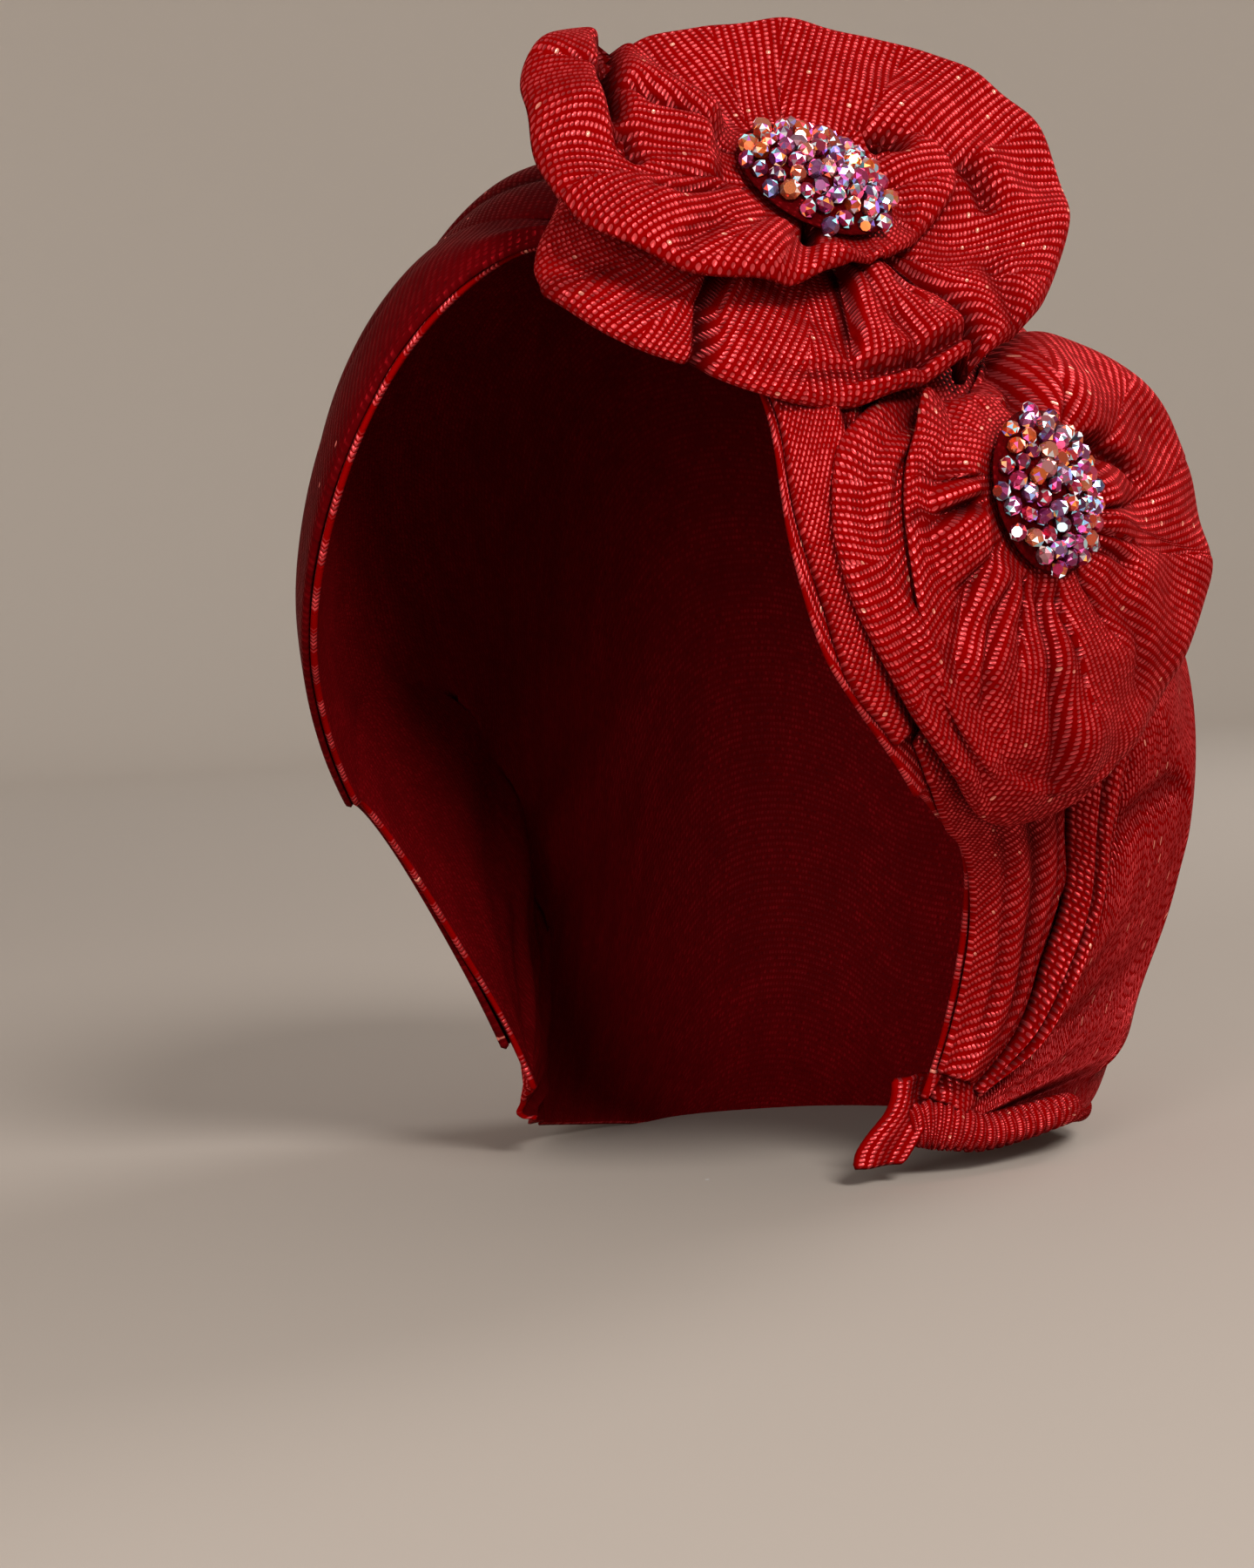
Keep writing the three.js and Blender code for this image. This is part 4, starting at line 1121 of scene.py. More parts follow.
def rosettes() -> list[Ruffle]:
    """The four ruffles, each rosette's outer one first."""
    top_outer = Ruffle(
        "top_rosette_wide_ruffle", "top_rosette_outer_ruffle", TOP_FRAME, 8, 11, (0.09, 0.1),
        table(
            RUFFLE_COLUMNS,
            (0, 53, 13, 12, 4.2, 3.6), (24, 59.5, 23, 16, 4.2, 3.6), (40, 58.5, 27, 18, 4.2, 3.6),
            (56, 53.5, 29, 18, 4.2, 3.6), (75, 50, 27, 16, 4.2, 3.6), (90, 47, 25, 14, 4.2, 3.6),
            (105, 45.5, 23, 12, 4.2, 3.6), (120, 47, 19.5, 11, 4.2, 3.6), (135, 50, 12, 9, 4.2, 3.6),
            (150, 47, 3, 8, 4.2, 3.6), (170, 43, -2, 6, 4.2, 3.6), (185, 44, -3, 6, 4.2, 3.6),
            (203, 50, -4, 6, 4.2, 3.6), (227, 50, -3, 7, 4.2, 3.6), (252, 46.5, -1, 8, 4.2, 3.6),
            (279, 44.5, 0, 8, 4.2, 3.6), (305, 42, 5, 10, 4.2, 3.6), (335, 44, 9, 11, 4.2, 3.6),
        ),
        table(CREASE_COLUMNS, (208, 3, 9, 0.5, 0.8, 0), (248, 2, 7, 0.4, 0.7, 0), (330, 3, 8, 0.3, 0.6, 6)),
        Pleats(12, 4.6, 14, 0.78, 21),
        folds=(
            Fold(((-14, -18), (-16, -27), (-17, -33), (-16, -39), (-14, -53)), 7.0, 1.7, 4.0, 10, step=0.9),
            Fold(((6, -12), (8, -20), (9, -24), (12, -36)), 7.5, 1.6, 3.4, 8, step=0.8),
            Fold(((10, 19), (15, 22), (21, 23)), 8.0, 3.4),
            Fold(
                ((10, -3), (17, -7), (24, -8), (30, -10), (35, -14), (39, -22)), 8.5, 2.6, 4.6, 9,
                right=True, open_end=True, step=0.8,
            ),
            Fold(((30, 23), (35, 20), (41, 12)), 3.0, 2.6, 1.6, 6),
            Fold(((-30, -24), (-38, -27), (-46, -27)), 2.4, 2.6, 2.0, 7, right=True, open_end=True),
            Fold(((-8, -43), (3, -41), (20, -33), (35, -20), (43, -8)), 3.2, 1.4, 0.8, 4),
            Fold(((16, -20), (24, -26), (29, -34)), 1.6, 2.0, 1.0, 7),
            Fold(((38, 4), (42, -4), (47, -10)), 1.8, 3.0, 1.0, 8, open_end=True),
        ),
        rim_round=5, rim_drop=1.2, seed=31,
    )
    top_inner = Ruffle(
        "top_rosette_heart_ruffle", "top_rosette_inner_ruffle", TOP_FRAME, 14, 16, (0.08, 0.07),
        table(
            RUFFLE_COLUMNS,
            (0, 24, 18, 18, 8.4, 3.6), (12, 28, 20, 16, 8.4, 3.6), (28, 34, 22, 16, 8.4, 3.6),
            (43, 33, 24, 16, 8.4, 3.6), (58, 29, 21, 17, 8.4, 3.6), (75, 21, 17, 17, 8.4, 3.6),
            (95, 20, 16, 17, 8.4, 3.6), (125, 20, 16, 17, 8.4, 3.6), (137, 24, 16, 17, 8.4, 3.6),
            (145, 50, 16, 18, 8.4, 3.6), (158, 59, 14, 21, 8.4, 3.6), (182, 54.5, 12, 20, 8.4, 3.6),
            (209, 49, 12, 20, 8.4, 3.6), (233, 42, 15.5, 20, 8.4, 3.6), (258, 32.5, 19, 20, 8.4, 3.6),
            (275, 26.5, 21, 20, 8.4, 3.6), (297, 21.5, 20, 19, 8.4, 3.6), (330, 20, 18, 18, 8.4, 3.6),
        ),
        table(CREASE_COLUMNS, (190, 2, 7, 0.25, 0.5, 0), (262, 3, 7, 0.3, 0.7, 0)),
        Pleats(13, 4.4, -18, 0.95, 22), top_outer,
        folds=(
            Fold(
                ((-38, 46), (-40, 34), (-42, 22), (-42, 8), (-40, -2), (-36, -9)), 6.0, 2.2, 2.4, 12,
                right=True,
            ),
            Fold(((-39, -2), (-37, -7), (-33, -10)), 3.5, 1.8),
            Fold(((-34, -17), (-28, -18), (-22, -15), (-17, -12)), 2.6, 1.8, 1.6, 7, right=True),
            Fold(((0, -10), (-1, -16), (-2, -23)), 4.0, 1.3, 1.2, 6),
            Fold(((10, 19), (15, 22), (21, 23)), 8.0, 3.2, 1.5, 5),
            Fold(((-18, -22), (-24, -28), (-27, -33)), 1.6, 2.2, 0.5, 7),
            Fold(((-25, 4), (-33, 6), (-38, 12)), 1.8, 2.4, 1.2, 6),
        ),
        rim_round=6, rim_drop=2.5, thin=0.6, buckle=0.9, seed=32,
    )
    side_outer = Ruffle(
        "side_rosette_wide_ruffle", "side_rosette_outer_ruffle", SIDE_FRAME, 8, 12, (0.09, 0.1),
        table(
            RUFFLE_COLUMNS + " roll roll_in",
            (0, 58, 10, 11, 5.2, 3.8, 0, 6), (30, 55, 8, 11, 5.2, 3.8, 0, 6),
            (55, 48, 4, 9, 0.6, 2.2, 0, 6), (85, 34, -4, 4, 0.6, 2.2, 0, 6),
            (120, 30, -4, 4, 0.6, 2.2, 0, 6), (150, 29, 0, 7, 2, 2.4, 2, 7),
            (183, 43, 4, 7, 5.2, 3.8, 5, 8), (209, 47.5, 3, 7.5, 5.2, 3.8, 5, 8.5),
            (239, 50, 1, 8, 5.2, 3.8, 5, 7.5), (265, 55, -2, 9, 5.2, 3.8, 4, 5.5),
            (288, 61, -4, 8, 5.2, 3.8, 3.5, 5), (305, 62, 0, 9, 5.2, 3.8, 1, 5),
            (330, 58, 6, 10, 5.2, 3.8, 0, 6),
        ),
        table(CREASE_COLUMNS, (205, 2, 10, 0.3, 0.6, 0)),
        Pleats(14, 3.0, 10, 0.9, 23),
        rim_round=5, rim_drop=1.5, buckle=0.6, seed=33,
    )
    side_inner = Ruffle(
        "side_rosette_heart_ruffle", "side_rosette_inner_ruffle", SIDE_FRAME, 15, 17, (0.08, 0.09),
        table(
            RUFFLE_COLUMNS,
            (0, 62, 15, 18, 9.6, 3.6), (20, 59, 15, 18, 9.6, 3.6), (34, 55, 15, 18, 9.6, 3.6),
            (50, 51, 11, 17, 9.6, 3.6), (68, 44, 7, 16, 3.4, 2.2), (90, 26, 9, 15, 3.4, 2.2),
            (120, 22, 12, 15, 3.4, 2.2), (160, 28, 9, 17, 9.6, 3.6), (190, 32, 8, 18, 9.6, 3.6),
            (218, 37, 8, 18, 9.6, 3.6), (243, 45, 7, 17, 9.6, 3.6), (263, 51, 5, 17, 9.6, 3.6),
            (285, 56, 6, 16, 9.6, 3.6), (303, 59, 6, 16, 9.6, 3.6), (320, 60, 8, 17, 9.6, 3.6),
            (343, 61, 11, 18, 9.6, 3.6),
        ),
        table(CREASE_COLUMNS, (78, 2, 8, 0.3, 0.6, 0)),
        Pleats(13, 4.4, 22, 1.0, 24), side_outer,
        folds=(
            Fold(
                ((-1, -12), (1, -19), (4, -27), (6, -33), (13, -43), (22, -54)), 2.2, 2.0, 1.4, 9,
                open_end=True,
            ),
            Fold(((-34, -15), (-28, -11), (-23, -8), (-15, -4)), 2.6, 1.5, 1.6, 6, right=True),
            Fold(((3, 34), (3, 27), (2, 21), (-3, 14)), 3.0, 2.2, 1.5, 6),
            Fold(((12, 14), (20, 15), (30, 13), (36, 9)), 3.2, 1.7, 2.0, 8),
            Fold(((15, -5), (22, -7), (30, -9)), 2.4, 1.6, 1.2, 6),
            Fold(((-14, -14), (-19, -24), (-20, -34), (-15, -44)), 2.2, 1.6, 1.6, 8),
            Fold(((-8, -16), (-12, -26), (-12, -36), (-6, -46)), 1.8, 1.4, 1.2, 6),
            Fold(((-20, 2), (-27, -2), (-30, -6)), 1.6, 1.6, 1.0, 6),
            Fold(((24, -14), (34, -22), (42, -34)), 1.2, 2.6, 1.0, 8),
        ),
        rim_round=8, rim_drop=5, thin=0.5, tuck=(2.6, 150, 285), buckle=0.9, seed=34,
    )
    return [top_outer, top_inner, side_outer, side_inner]


def finish_sheet(
    piece: bpy.types.Object, node: str, flat: tuple[float, float],
) -> None:
    """Hangs a sheet of cloth from the root, hides the CAD node whose place it takes and logs its size.

    Args:
        piece: the sheet.
        node: the CAD node that it stands for.
        flat: its flat width and length in metres, of the doubled cloth where it is doubled.
    """
    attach(piece, "root")
    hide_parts(node)
    faces = piece.data.polygons
    area = sum(face.area for face in faces) / 2
    whole = flat[0] * flat[1]
    LOG.info("%s: %d faces, half its surface %.4f m2, flat %.4f m2", piece.name, len(faces), area, whole)


# Materials


class Nodes:
    """A node tree that is being filled.

    Args:
        tree: the tree.
    """

    def __init__(self, tree: bpy.types.NodeTree) -> None:
        """Starts with an empty tree."""
        self.tree = tree
        tree.nodes.clear()

    def add(
        self, kind: str, inputs: dict[str | int, object] | None = None, **settings: object,
    ) -> bpy.types.Node:
        """Adds a node, sets it and links what feeds it.

        Args:
            kind: the node's type.
            inputs: for each input socket, a value or the socket that feeds it.
            settings: the node's own settings.

        Returns:
            The node.
        """
        node = self.tree.nodes.new(kind)
        for name, value in settings.items():
            setattr(node, name, value)
        for name, value in (inputs or {}).items():
            if isinstance(value, bpy.types.NodeSocket):
                self.tree.links.new(value, node.inputs[name])
            else:
                node.inputs[name].default_value = value
        return node

    def maths(self, operation: str, a: object, b: object = 0.0, c: object = 0.0) -> bpy.types.NodeSocket:
        """The result of a sum of one to three numbers or sockets."""
        return self.add("ShaderNodeMath", {0: a, 1: b, 2: c}, operation=operation).outputs[0]

    def mix(self, share: object, a: object, b: object, **settings: object) -> bpy.types.NodeSocket:
        """A colour between two colours, or their blend."""
        node = self.add("ShaderNodeMix", {0: share, 6: a, 7: b}, data_type="RGBA", **settings)
        return node.outputs[2]


def new_material(name: str) -> tuple[bpy.types.Material, Nodes]:
    """Starts a material, with an empty node tree."""
    material = bpy.data.materials.new(name)
    material.use_nodes = True
    return material, Nodes(material.node_tree)


def new_group(
    name: str, sizes: dict[str, float], outputs: tuple[str, ...],
) -> tuple[Nodes, dict[str, bpy.types.NodeSocket]]:
    """Starts a shader node group that reads a place.

    Args:
        name: its name.
        sizes: for each size that it takes, the default.
        outputs: the names of its outputs.

    Returns:
        Its nodes, and the sockets of its inputs by name.
    """
    tree = bpy.data.node_groups.new(name, "ShaderNodeTree")
    tree.interface.new_socket("Place", in_out="INPUT", socket_type="NodeSocketVector")
    for label, default in sizes.items():
        socket = tree.interface.new_socket(label, in_out="INPUT", socket_type="NodeSocketFloat")
        socket.default_value = default
    for label in outputs:
        tree.interface.new_socket(label, in_out="OUTPUT", socket_type="NodeSocketFloat")
    nodes = Nodes(tree)
    source = nodes.add("NodeGroupInput")
    return nodes, {label: source.outputs[label] for label in ("Place", *sizes)}


def ribbed_weave() -> bpy.types.ShaderNodeTree:
    """The weave of the cloth: raised rows of short shining threads with dark ground between.

    Returns:
        The group. Its outputs are a mask of the threads, a height, a random value for each
        thread and a soft cloud.
    """
    nodes, given = new_group(
        "RibbedWeave", {"Rib pitch": 1.55, "Thread pitch": 0.85, "Waver": 0.25},
        ("Threads", "Height", "Chance", "Cloud"),
    )
    wander = nodes.add("ShaderNodeTexNoise", {"Vector": given["Place"], "Scale": 0.06, "Detail": 3.0})
    split = nodes.add("ShaderNodeSeparateXYZ", {0: given["Place"]})
    swing = nodes.maths("MULTIPLY_ADD", wander.outputs[0], given["Waver"], split.outputs[0])
    across = nodes.maths("DIVIDE", swing, given["Rib pitch"])
    rib = nodes.maths("FLOOR", across)
    stagger = nodes.add("ShaderNodeTexWhiteNoise", {"W": rib}, noise_dimensions="1D")
    along = nodes.maths("DIVIDE", split.outputs[1], given["Thread pitch"])
    along = nodes.maths("MULTIPLY_ADD", stagger.outputs[0], 0.7, along)
    thread = nodes.maths("FLOOR", along)
    across_wave = nodes.maths("SINE", nodes.maths("MULTIPLY", nodes.maths("FRACT", across), math.pi))
    along_wave = nodes.maths("SINE", nodes.maths("MULTIPLY", nodes.maths("FRACT", along), math.pi))
    cell = nodes.add("ShaderNodeCombineXYZ", {0: rib, 1: thread})
    chance = nodes.add("ShaderNodeTexWhiteNoise", {"Vector": cell.outputs[0]}, noise_dimensions="2D")
    ridge = nodes.maths("POWER", across_wave, 2.2)
    bump = nodes.maths("MULTIPLY", ridge, nodes.maths("POWER", along_wave, 0.9))
    edge = nodes.maths("MULTIPLY_ADD", chance.outputs[0], -0.22, 0.42)
    top = nodes.maths("ADD", edge, 0.28)
    mask = nodes.add("ShaderNodeMapRange", {0: bump, 1: edge, 2: top}, interpolation_type="SMOOTHSTEP")
    cloud = nodes.add("ShaderNodeTexNoise", {"Vector": given["Place"], "Scale": 0.09, "Detail": 3.0})
    nodes.add("NodeGroupOutput", {
        "Threads": mask.outputs[0], "Height": bump,
        "Chance": chance.outputs[0], "Cloud": cloud.outputs[0],
    })
    return nodes.tree


def darker(colour: Colour, share: float) -> Colour:
    """A colour with that share of its light."""
    return tuple(share * part for part in colour[:3]) + (1,)


@dataclass(frozen=True)
class ClothFinish:
    """A ribbed cloth with metallic threads, with painted glints on a few threads and painted shade in
    recesses and folds.

    Attributes:
        name: the material's name.
        ground: the colour of the cloth between the threads.
        thread: the colour of the threads.
        painted_glint: the colour of the few threads that get painted glints.
        shine: how metallic the threads are.
        painted_glint_share: the share of threads that get painted glints.
        relief: how high the ribs stand, in metres.
        painted_hollow_shade: how near a wall has to be for painted shade in a recess, in metres.
    """

    name: str
    ground: Colour
    thread: Colour
    painted_glint: Colour
    shine: float
    painted_glint_share: float
    relief: float
    painted_hollow_shade: float = 0.009

    def build(self, weave: bpy.types.ShaderNodeTree) -> bpy.types.Material:
        """Makes the material.

        Args:
            weave: the group with the cloth's weave.

        Returns:
            The material.
        """
        material, nodes = new_material(self.name)
        place = nodes.add("ShaderNodeUVMap", uv_map="weave")
        group = nodes.add("ShaderNodeGroup", node_tree=weave)
        nodes.tree.links.new(place.outputs[0], group.inputs["Place"])
        threads, height, chance, cloud = (group.outputs[k] for k in range(4))
        ground = nodes.mix(cloud, darker(self.ground, 0.6), self.ground)
        dull = darker(self.thread, 0.38)
        lively = nodes.add("ShaderNodeMapRange", {0: cloud, 1: 0.35, 2: 0.65, 3: 0.45, 4: 1.0})
        bright = nodes.maths("MULTIPLY", nodes.maths("POWER", chance, 0.8), lively.outputs[0])
        thread = nodes.mix(bright, dull, self.thread)
        # Painted glints: a few threads take a brighter colour in their base colour.
        painted_glint = nodes.maths("GREATER_THAN", chance, 1 - self.painted_glint_share)
        thread = nodes.mix(painted_glint, thread, self.painted_glint)
        colour = nodes.mix(threads, ground, thread)
        # Painted shade: the colour is darkened in recesses, by ambient occlusion, and along folds and
        # gathers, by the points' painted fold shade.
        painted_hollow_shade = nodes.add("ShaderNodeAmbientOcclusion", {"Distance": self.painted_hollow_shade}, samples=4)
        reached = nodes.add("ShaderNodeMapRange", {0: painted_hollow_shade.outputs[1], 1: 0.15, 2: 0.85, 3: 0.25, 4: 1.0})
        dark = nodes.add("ShaderNodeAttribute", attribute_name="fold_dark")
        lit = nodes.add("ShaderNodeMapRange", {0: dark.outputs["Fac"], 1: 0.0, 2: 1.0, 3: 1.0, 4: 0.08})
        share = nodes.maths("MULTIPLY", reached.outputs[0], lit.outputs[0])
        shade = nodes.add("ShaderNodeCombineColor", {k: share for k in range(3)})
        colour = nodes.mix(1.0, colour, shade.outputs[0], blend_type="MULTIPLY")
        metal = nodes.maths("MULTIPLY", threads, self.shine)
        rough = nodes.add("ShaderNodeMapRange", {0: threads, 1: 0.0, 2: 1.0, 3: 0.75, 4: 0.34})
        bump = nodes.add("ShaderNodeBump", {"Strength": 0.8, "Distance": self.relief, "Height": height})
        shader = nodes.add("ShaderNodeBsdfPrincipled", {
            "Base Color": colour, "Metallic": metal, "Roughness": rough.outputs[0],
            "Normal": bump.outputs[0], "Specular IOR Level": 0.03, "Specular Tint": (1.0, 0.3, 0.3, 1.0),
        })
        nodes.add("ShaderNodeOutputMaterial", {0: shader.outputs[0]})
        return material


# Each cloth's third colour is that of its painted glints.
RIBBED_RED = ClothFinish(
    "ribbed_red_cloth", (0.25, 0.0, 0.0, 1), (0.95, 0.09, 0.10, 1), (1.0, 0.34, 0.26, 1),
    shine=0.72, painted_glint_share=0.008, relief=0.00025,
)
# Plain cloth for the bands and the stone pads. Its dark tone is partly the cloth's own colour and partly
# painted shade.
PLAIN_RED_PAINTED_DARKER = ClothFinish(
    "plain_dark_red_cloth", (0.085, 0.0, 0.001, 1), (0.17, 0.002, 0.004, 1), (0.8, 0.2, 0.16, 1),
    shine=0.45, painted_glint_share=0.004, relief=0.0001,
)
CLOTH_BACK = ClothFinish(
    "back_of_cloth", (0.13, 0.001, 0.002, 1), (0.20, 0.003, 0.006, 1), (0.20, 0.003, 0.006, 1),
    shine=0.0, painted_glint_share=0.0, relief=0.0001,
)


@dataclass(frozen=True)
class StoneFinish:
    """Cut glass stones, each of its own colour, with iridescent coating colours and painted glints on their
    facets; the brightest facets glow.
    """

    name: str = "coated_cut_stones"

    def build(self) -> bpy.types.Material:
        """Makes the material.

        Returns:
            The material, which reads each stone's chance and each facet's chance.
        """
        material, nodes = new_material(self.name)
        chance = nodes.add("ShaderNodeAttribute", attribute_name="stone_chance")
        facet = nodes.add("ShaderNodeAttribute", attribute_name="facet_chance")
        body = nodes.add("ShaderNodeValToRGB", {0: chance.outputs["Fac"]})
        fill_ramp(body.color_ramp, (
            (0.0, (0.35, 0.01, 0.10)), (0.16, (0.10, 0.01, 0.07)), (0.3, (0.60, 0.01, 0.05)),
            (0.42, (0.95, 0.17, 0.01)), (0.55, (0.14, 0.01, 0.09)), (0.7, (0.50, 0.02, 0.12)),
            (0.82, (0.10, 0.12, 0.30)), (1.0, (0.90, 0.24, 0.05)),
        ))
        # Facet colours: partly the stones' iridescent coating, partly painted glints and reflections, white
        # and cyan among them.
        coat_and_painted_glint = nodes.add("ShaderNodeValToRGB", {0: facet.outputs["Fac"]})
        fill_ramp(coat_and_painted_glint.color_ramp, (
            (0.0, (0.8, 0.95, 1.0)), (0.18, (0.30, 0.85, 0.9)), (0.34, (0.30, 0.15, 0.75)),
            (0.46, (0.85, 0.12, 0.35)), (0.6, (0.9, 0.08, 0.08)), (0.74, (1.0, 0.38, 0.06)),
            (0.86, (0.7, 0.8, 0.9)), (1.0, (1.0, 0.97, 0.95)),
        ))
        scatter = nodes.add("ShaderNodeTexWhiteNoise", {"W": facet.outputs["Fac"]}, noise_dimensions="1D")
        glint = scatter.outputs[0]
        share = nodes.add("ShaderNodeMapRange", {0: glint, 1: 0.55, 2: 0.8, 3: 0.03, 4: 0.95})
        colour = nodes.mix(share.outputs[0], body.outputs[0], coat_and_painted_glint.outputs[0])
        # Painted glints: the brightest facets glow by emission, though no lamp is there.
        painted_glint_glow = nodes.add("ShaderNodeMapRange", {0: glint, 1: 0.78, 2: 0.95, 3: 0.0, 4: 1.1}).outputs[0]
        shader = nodes.add("ShaderNodeBsdfPrincipled", {
            "Base Color": colour, "Metallic": 0.8, "Roughness": 0.12, "IOR": 1.6,
            "Coat Weight": 0.25, "Coat Roughness": 0.03,
            "Emission Color": colour, "Emission Strength": painted_glint_glow,
        })
        nodes.add("ShaderNodeOutputMaterial", {0: shader.outputs[0]})
        return material


def fill_ramp(
    ramp: bpy.types.ColorRamp, stops: tuple[tuple[float, tuple[float, float, float]], ...],
) -> None:
    """Puts colours on a ramp, each with its place."""
    while len(ramp.elements) < len(stops):
        ramp.elements.new(0.5)
    for element, (place, colour) in zip(ramp.elements, stops):
        element.position = place
        element.color = (*colour, 1)


# Stones


@dataclass
class StoneCluster:
    """A rosette's heart: a domed pad with cut stones sewn over it.

    Attributes:
        name: the piece's name.
        node: the CAD node that it stands for.
        frame: the rosette's axes.
        base: the height of the pad over the rosette's base.
        seed: the seed of the stones' turns and colours.
        stones: how many stones it has.
        width: how wide a stone is.
        radius: how far out the stones lie.
        rise: how much higher the pad's middle is than its edge.
        golden: the angle from each stone to the next, in degrees.
        sides: how many points each ring of the pad has.
    """

    name: str
    node: str
    frame: RosetteFrame
    base: float
    seed: int
    stones: int = 62
    width: float = 3.7
    radius: float = 15.6
    rise: float = 5.0
    golden: float = 137.508
    sides: int = 60

    def dome(self, radius: np.ndarray) -> np.ndarray:
        """The height of the pad at a radius."""
        return self.rise * (1 - (radius / self.radius) ** 2)

    def pad(self, material: bpy.types.Material) -> bpy.types.Object:
        """The cloth pad under the stones."""
        radii = np.array([0.5, 6.0, 11.0, 14.6, self.radius + 0.4, self.radius * 0.9])
        heights = np.append(self.dome(radii[:4]) - 0.6, [-0.2, -1.5])
        angle = np.linspace(0, 360, self.sides, endpoint=False)[None, :].repeat(len(radii), axis=0)
        radius = radii[:, None].repeat(self.sides, axis=1)
        rings = self.frame.place(angle, radius, self.base + heights[:, None].repeat(self.sides, axis=1))
        weave = np.stack([angle / 4, radius], -1)
        piece = tube_surface(rings, weave_of(weave, closed=True)).to_object(f"{self.name}_pad", material)
        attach(piece, "root")
        return piece

    def build(
        self, material: bpy.types.Material, stone: bpy.types.Object, tree: bpy.types.GeometryNodeTree,
    ) -> bpy.types.Object:
        """Sets the stones on their places.

        Args:
            material: the stones' finish.
            stone: the mesh of one stone, 1 mm wide.
            tree: the node tree that sets stones on points.

        Returns:
            The piece.
        """
        draw = np.random.default_rng(self.seed)
        k = np.arange(self.stones)
        radius = self.radius * np.sqrt((k + 0.5) / self.stones) + draw.uniform(-0.3, 0.3, self.stones)
        angle = k * self.golden
        height = self.base + self.dome(radius) + draw.uniform(-0.1, 0.6, self.stones)
        centre = self.frame.place(angle, radius, height)
        mesh = bpy.data.meshes.new(self.name)
        mesh.from_pydata([Vector(p * MILLIMETRE) for p in centre], [], [])
        grown = grow(add_object(self.name, mesh), tree, {
            "Stone": stone, "Size": self.width, "Seed": self.seed, "Material": material,
        })
        colour_facets(grown, self.seed)
        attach(grown, "root")
        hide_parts(self.node)
        return grown


def colour_facets(piece: bpy.types.Object, seed: int) -> None:
    """Gives each facet a chance of its own, for its iridescent colour and its painted glint."""
    mesh = piece.data
    chance = np.random.default_rng(seed + 7).uniform(0, 1, len(mesh.polygons))
    layer = mesh.attributes.new("facet_chance", "FLOAT", "FACE")
    layer.data.foreach_set("value", chance.astype(np.float32))


def cut_stone() -> bpy.types.Object:
    """One cut stone, 1 mm wide: a table, eight crown facets, a girdle and eight lower facets."""
    rings = ((0.24, 0.36), (0.45, 0.16), (0.5, -0.08), (0.3, -0.34))
    points = []
    for number, (radius, height) in enumerate(rings):
        turn = np.arange(8) * math.pi / 4 + (number % 2) * math.pi / 8
        points += [(radius * math.cos(a), radius * math.sin(a), height) for a in turn]
    faces = [tuple(range(8)), tuple(range(31, 23, -1))]
    for ring in range(3):
        for k in range(8):
            a, b = ring * 8 + k, ring * 8 + (k + 1) % 8
            c, d = a + 8, b + 8
            if ring % 2 == 0:
                faces += [(a, c, b), (b, c, d)]
            else:
                before = (ring + 1) * 8 + (k + 1) % 8
                faces += [(a, before, b), (a, c, before)]
    mesh = bpy.data.meshes.new("cut_stone")
    mesh.from_pydata(points, [], faces)
    return add_object("cut_stone", mesh)


def stone_tree() -> bpy.types.GeometryNodeTree:
    """A node tree that sets a turned stone on each point.

    Returns:
        The tree, with inputs for the stone, its size, the seed and the material.
    """
    tree = bpy.data.node_groups.new("SetStones", "GeometryNodeTree")
    inputs = {
        "Geometry": "Geometry", "Stone": "Object", "Size": "Float", "Seed": "Int", "Material": "Material",
    }
    for label, kind in inputs.items():
        tree.interface.new_socket(label, in_out="INPUT", socket_type=f"NodeSocket{kind}")
    tree.interface.new_socket("Geometry", in_out="OUTPUT", socket_type="NodeSocketGeometry")
    nodes = Nodes(tree)
    given = nodes.add("NodeGroupInput").outputs
    stone = nodes.add("GeometryNodeObjectInfo", {"Object": given["Stone"]})
    seed, whole_turn = given["Seed"], (6.28, 6.28, 6.28)
    turn = nodes.add("FunctionNodeRandomValue", {
        "Min": (0, 0, 0), "Max": whole_turn, "Seed": seed,
    }, data_type="FLOAT_VECTOR")
    size = nodes.add("FunctionNodeRandomValue", {2: 0.9, 3: 1.12, "Seed": seed}, data_type="FLOAT")
    scale = nodes.add("ShaderNodeMath", {0: size.outputs[1], 1: given["Size"]}, operation="MULTIPLY")
    metres = nodes.add("ShaderNodeMath", {0: scale.outputs[0], 1: MILLIMETRE}, operation="MULTIPLY")
    placed = nodes.add("GeometryNodeInstanceOnPoints", {
        "Points": given["Geometry"], "Instance": stone.outputs["Geometry"],
        "Rotation": turn.outputs[0], "Scale": metres.outputs[0],
    })
    chance = nodes.add("FunctionNodeRandomValue", {2: 0.0, 3: 1.0, "Seed": seed}, data_type="FLOAT")
    stored = nodes.add("GeometryNodeStoreNamedAttribute", {
        "Geometry": placed.outputs[0], "Name": "stone_chance", "Value": chance.outputs[1],
    }, data_type="FLOAT", domain="INSTANCE")
    real = nodes.add("GeometryNodeRealizeInstances", {0: stored.outputs[0]})
    dressed = nodes.add("GeometryNodeSetMaterial", {
        "Geometry": real.outputs[0], "Material": given["Material"],
    })
    nodes.add("NodeGroupOutput", {0: dressed.outputs[0]})
    return tree


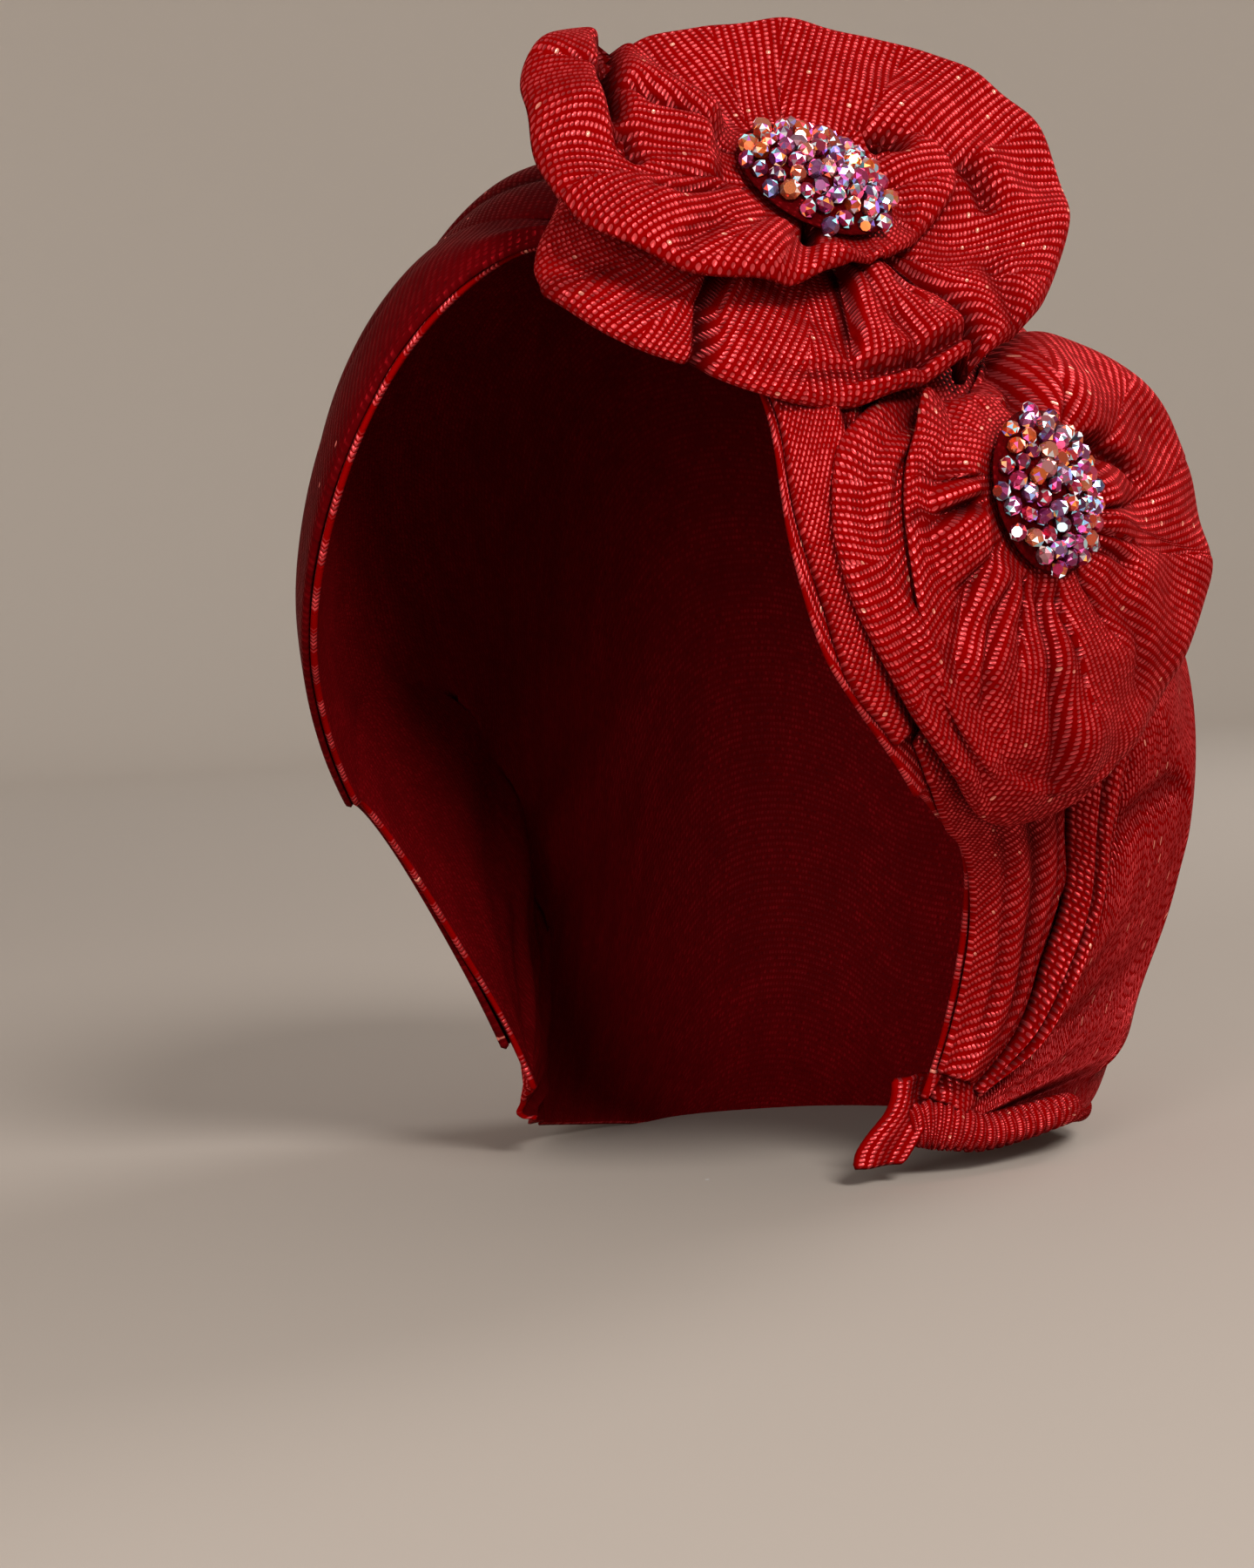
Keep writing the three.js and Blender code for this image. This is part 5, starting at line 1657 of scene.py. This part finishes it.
def grow(
    obj: bpy.types.Object, tree: bpy.types.GeometryNodeTree, values: dict[str, object],
) -> bpy.types.Object:
    """Runs a node tree on an object and keeps the result as a plain mesh.

    Args:
        obj: the object that carries the tree.
        tree: the tree.
        values: for each named input, its value.

    Returns:
        The same object, with the grown mesh.
    """
    modifier = obj.modifiers.new("grow", "NODES")
    modifier.node_group = tree
    for item in tree.interface.items_tree:
        if getattr(item, "in_out", "") == "INPUT" and item.name in values:
            modifier[item.identifier] = values[item.name]
    evaluated = obj.evaluated_get(bpy.context.evaluated_depsgraph_get())
    mesh = bpy.data.meshes.new_from_object(evaluated)
    obj.modifiers.remove(modifier)
    obj.data = mesh
    mesh.name = obj.name
    return obj


# Studio


@dataclass
class Studio:
    """The camera, the pale floor and the soft light.

    Attributes:
        focal: the focal length, in pixels of the picture.
        width: how many pixels wide the picture is.
        height: how many pixels high the picture is.
        distance: how far the camera is from its target, in millimetres.
        target: a point that shows at the place that aim gives.
        aim: that place, in pixels from the picture's upper left corner.
        floor_height: how high the floor is, in metres.
    """

    focal: float = 3563.6
    width: int = 1440
    height: int = 1800
    distance: float = 650.0
    target: tuple[float, float, float] = (0, 3, -100)
    aim: tuple[float, float] = (788, 740)
    floor_height: float = -0.2125

    def camera(self) -> bpy.types.Object:
        """Makes the camera of the photograph."""
        right = Vector(PICTURE_RIGHT).normalized()
        up = Vector(PICTURE_UP)
        up = (up - right * up.dot(right)).normalized()
        back = right.cross(up)
        across = (self.aim[0] - self.width / 2) / self.focal * self.distance
        rise = (self.height / 2 - self.aim[1]) / self.focal * self.distance
        place = Vector(self.target) + back * self.distance - right * across - up * rise
        data = bpy.data.cameras.new("camera")
        data.sensor_width = 36
        data.lens = data.sensor_width * self.focal / self.height
        data.clip_start, data.clip_end = 0.01, 50
        camera = add_object("camera", data)
        camera.matrix_world = Matrix((
            (right.x, up.x, back.x, place.x * MILLIMETRE),
            (right.y, up.y, back.y, place.y * MILLIMETRE),
            (right.z, up.z, back.z, place.z * MILLIMETRE),
            (0, 0, 0, 1),
        ))
        bpy.context.scene.camera = camera
        return camera

    def floor(self) -> bpy.types.Object:
        """Makes the pale floor, which curves up far behind, with its colour painted darker near the middle,
        where the lamps light it most, and paler far off, so that it shows evenly bright.
        """
        material, nodes = new_material("pale_floor")
        place = nodes.add("ShaderNodeTexCoord")
        # Painted shade and light: the floor's colour grows darker towards the middle and paler far off,
        # against the lamps' fall-off.
        reach = nodes.add("ShaderNodeVectorMath", {0: place.outputs["Object"]}, operation="LENGTH")
        share = nodes.add("ShaderNodeMapRange", {
            0: reach.outputs["Value"], 1: 0.3, 2: 2.6,
        }, interpolation_type="SMOOTHSTEP")
        colour = nodes.mix(share.outputs[0], (0.40, 0.35, 0.31, 1), (0.72, 0.66, 0.60, 1))
        shader = nodes.add("ShaderNodeBsdfPrincipled", {
            "Base Color": colour, "Roughness": 0.9, "Specular IOR Level": 0.1,
        })
        nodes.add("ShaderNodeOutputMaterial", {0: shader.outputs[0]})
        steps, sides = 24, 96
        turn = np.linspace(0, np.pi / 2, steps)
        radius = np.concatenate([[0.0005], 2.2 + 1.2 * np.sin(turn), [3.4]])
        height = np.concatenate([[0], 1.2 * (1 - np.cos(turn)), [2.6]]) + self.floor_height
        angle = np.linspace(0, 2 * np.pi, sides, endpoint=False)
        rings = np.stack([
            radius[:, None] * np.cos(angle), radius[:, None] * np.sin(angle), height[:, None] + 0 * angle,
        ], -1)
        mesh = bpy.data.meshes.new("floor")
        quads = grid_quads(len(radius), sides, closed=True)
        mesh.from_pydata(rings.reshape(-1, 3).tolist(), [], quads.tolist())
        mesh.polygons.foreach_set("use_smooth", np.ones(len(quads), bool))
        mesh.materials.append(material)
        floor = add_object("floor", mesh)
        return floor

    def light(
        self, name: str, place: tuple[float, float, float], size: float, power: float,
        tint: tuple[float, float, float],
    ) -> None:
        """Adds one soft lamp that looks at the head tie.

        Args:
            name: its name.
            place: where it stands, in metres.
            size: how wide it is, in metres.
            power: its power in watts.
            tint: its colour.
        """
        data = bpy.data.lights.new(name, "AREA")
        data.shape = "DISK"
        data.size, data.energy, data.color = size, power, tint
        lamp = add_object(name, data)
        lamp.location = place
        aim = Vector((0.02, 0.0, -0.1)) - Vector(place)
        lamp.rotation_mode = "QUATERNION"
        lamp.rotation_quaternion = aim.to_track_quat("-Z", "Y")
        lamp.visible_camera = False

    def build(self) -> None:
        """Makes the camera, the floor and the light."""
        self.camera()
        self.floor()
        world = bpy.data.worlds.new("studio")
        world.use_nodes = True
        sky = world.node_tree.nodes["Background"]
        sky.inputs["Color"].default_value = (0.60, 0.56, 0.53, 1)
        sky.inputs["Strength"].default_value = 0.6
        bpy.context.scene.world = world
        bpy.context.scene.view_settings.view_transform = "Standard"
        self.light("key", (1.25, -0.95, 0.95), 0.6, 32, (1.0, 0.97, 0.93))
        self.light("front", (0.1, -1.6, 0.3), 0.8, 12, (1.0, 0.98, 0.96))
        self.light("rim", (0.6, 1.2, 0.9), 0.7, 10, (1.0, 0.98, 0.96))


def main() -> None:
    """Builds the head tie piece by piece."""
    logging.basicConfig(level=logging.INFO, format="%(name)s: %(message)s")
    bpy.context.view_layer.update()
    Studio().build()
    weave = ribbed_weave()
    ribbed = RIBBED_RED.build(weave)
    plain = PLAIN_RED_PAINTED_DARKER.build(weave)
    stones = StoneFinish().build()
    CrownCap().build(ribbed, CLOTH_BACK.build(weave))
    for strip in STRIPS:
        strip.build(ribbed if strip.slot is Slot.RIBBED else plain)
    NapeRoll().build(ribbed)
    NapeTail().build(ribbed)
    for ruffle in rosettes():
        ruffle.build(ribbed)
    stone, tree = cut_stone(), stone_tree()
    for cluster in (
        StoneCluster("top_stones", "top_rosette_beads", TOP_FRAME, 18, 41),
        StoneCluster("side_stones", "side_rosette_beads", SIDE_FRAME, 19, 42),
    ):
        # The pads take the plain cloth, whose partly painted dark tone shows as shade between the stones.
        cluster.pad(plain)
        cluster.build(stones, stone, tree)
    bpy.data.objects.remove(stone)


if __name__ == "__main__":
    main()
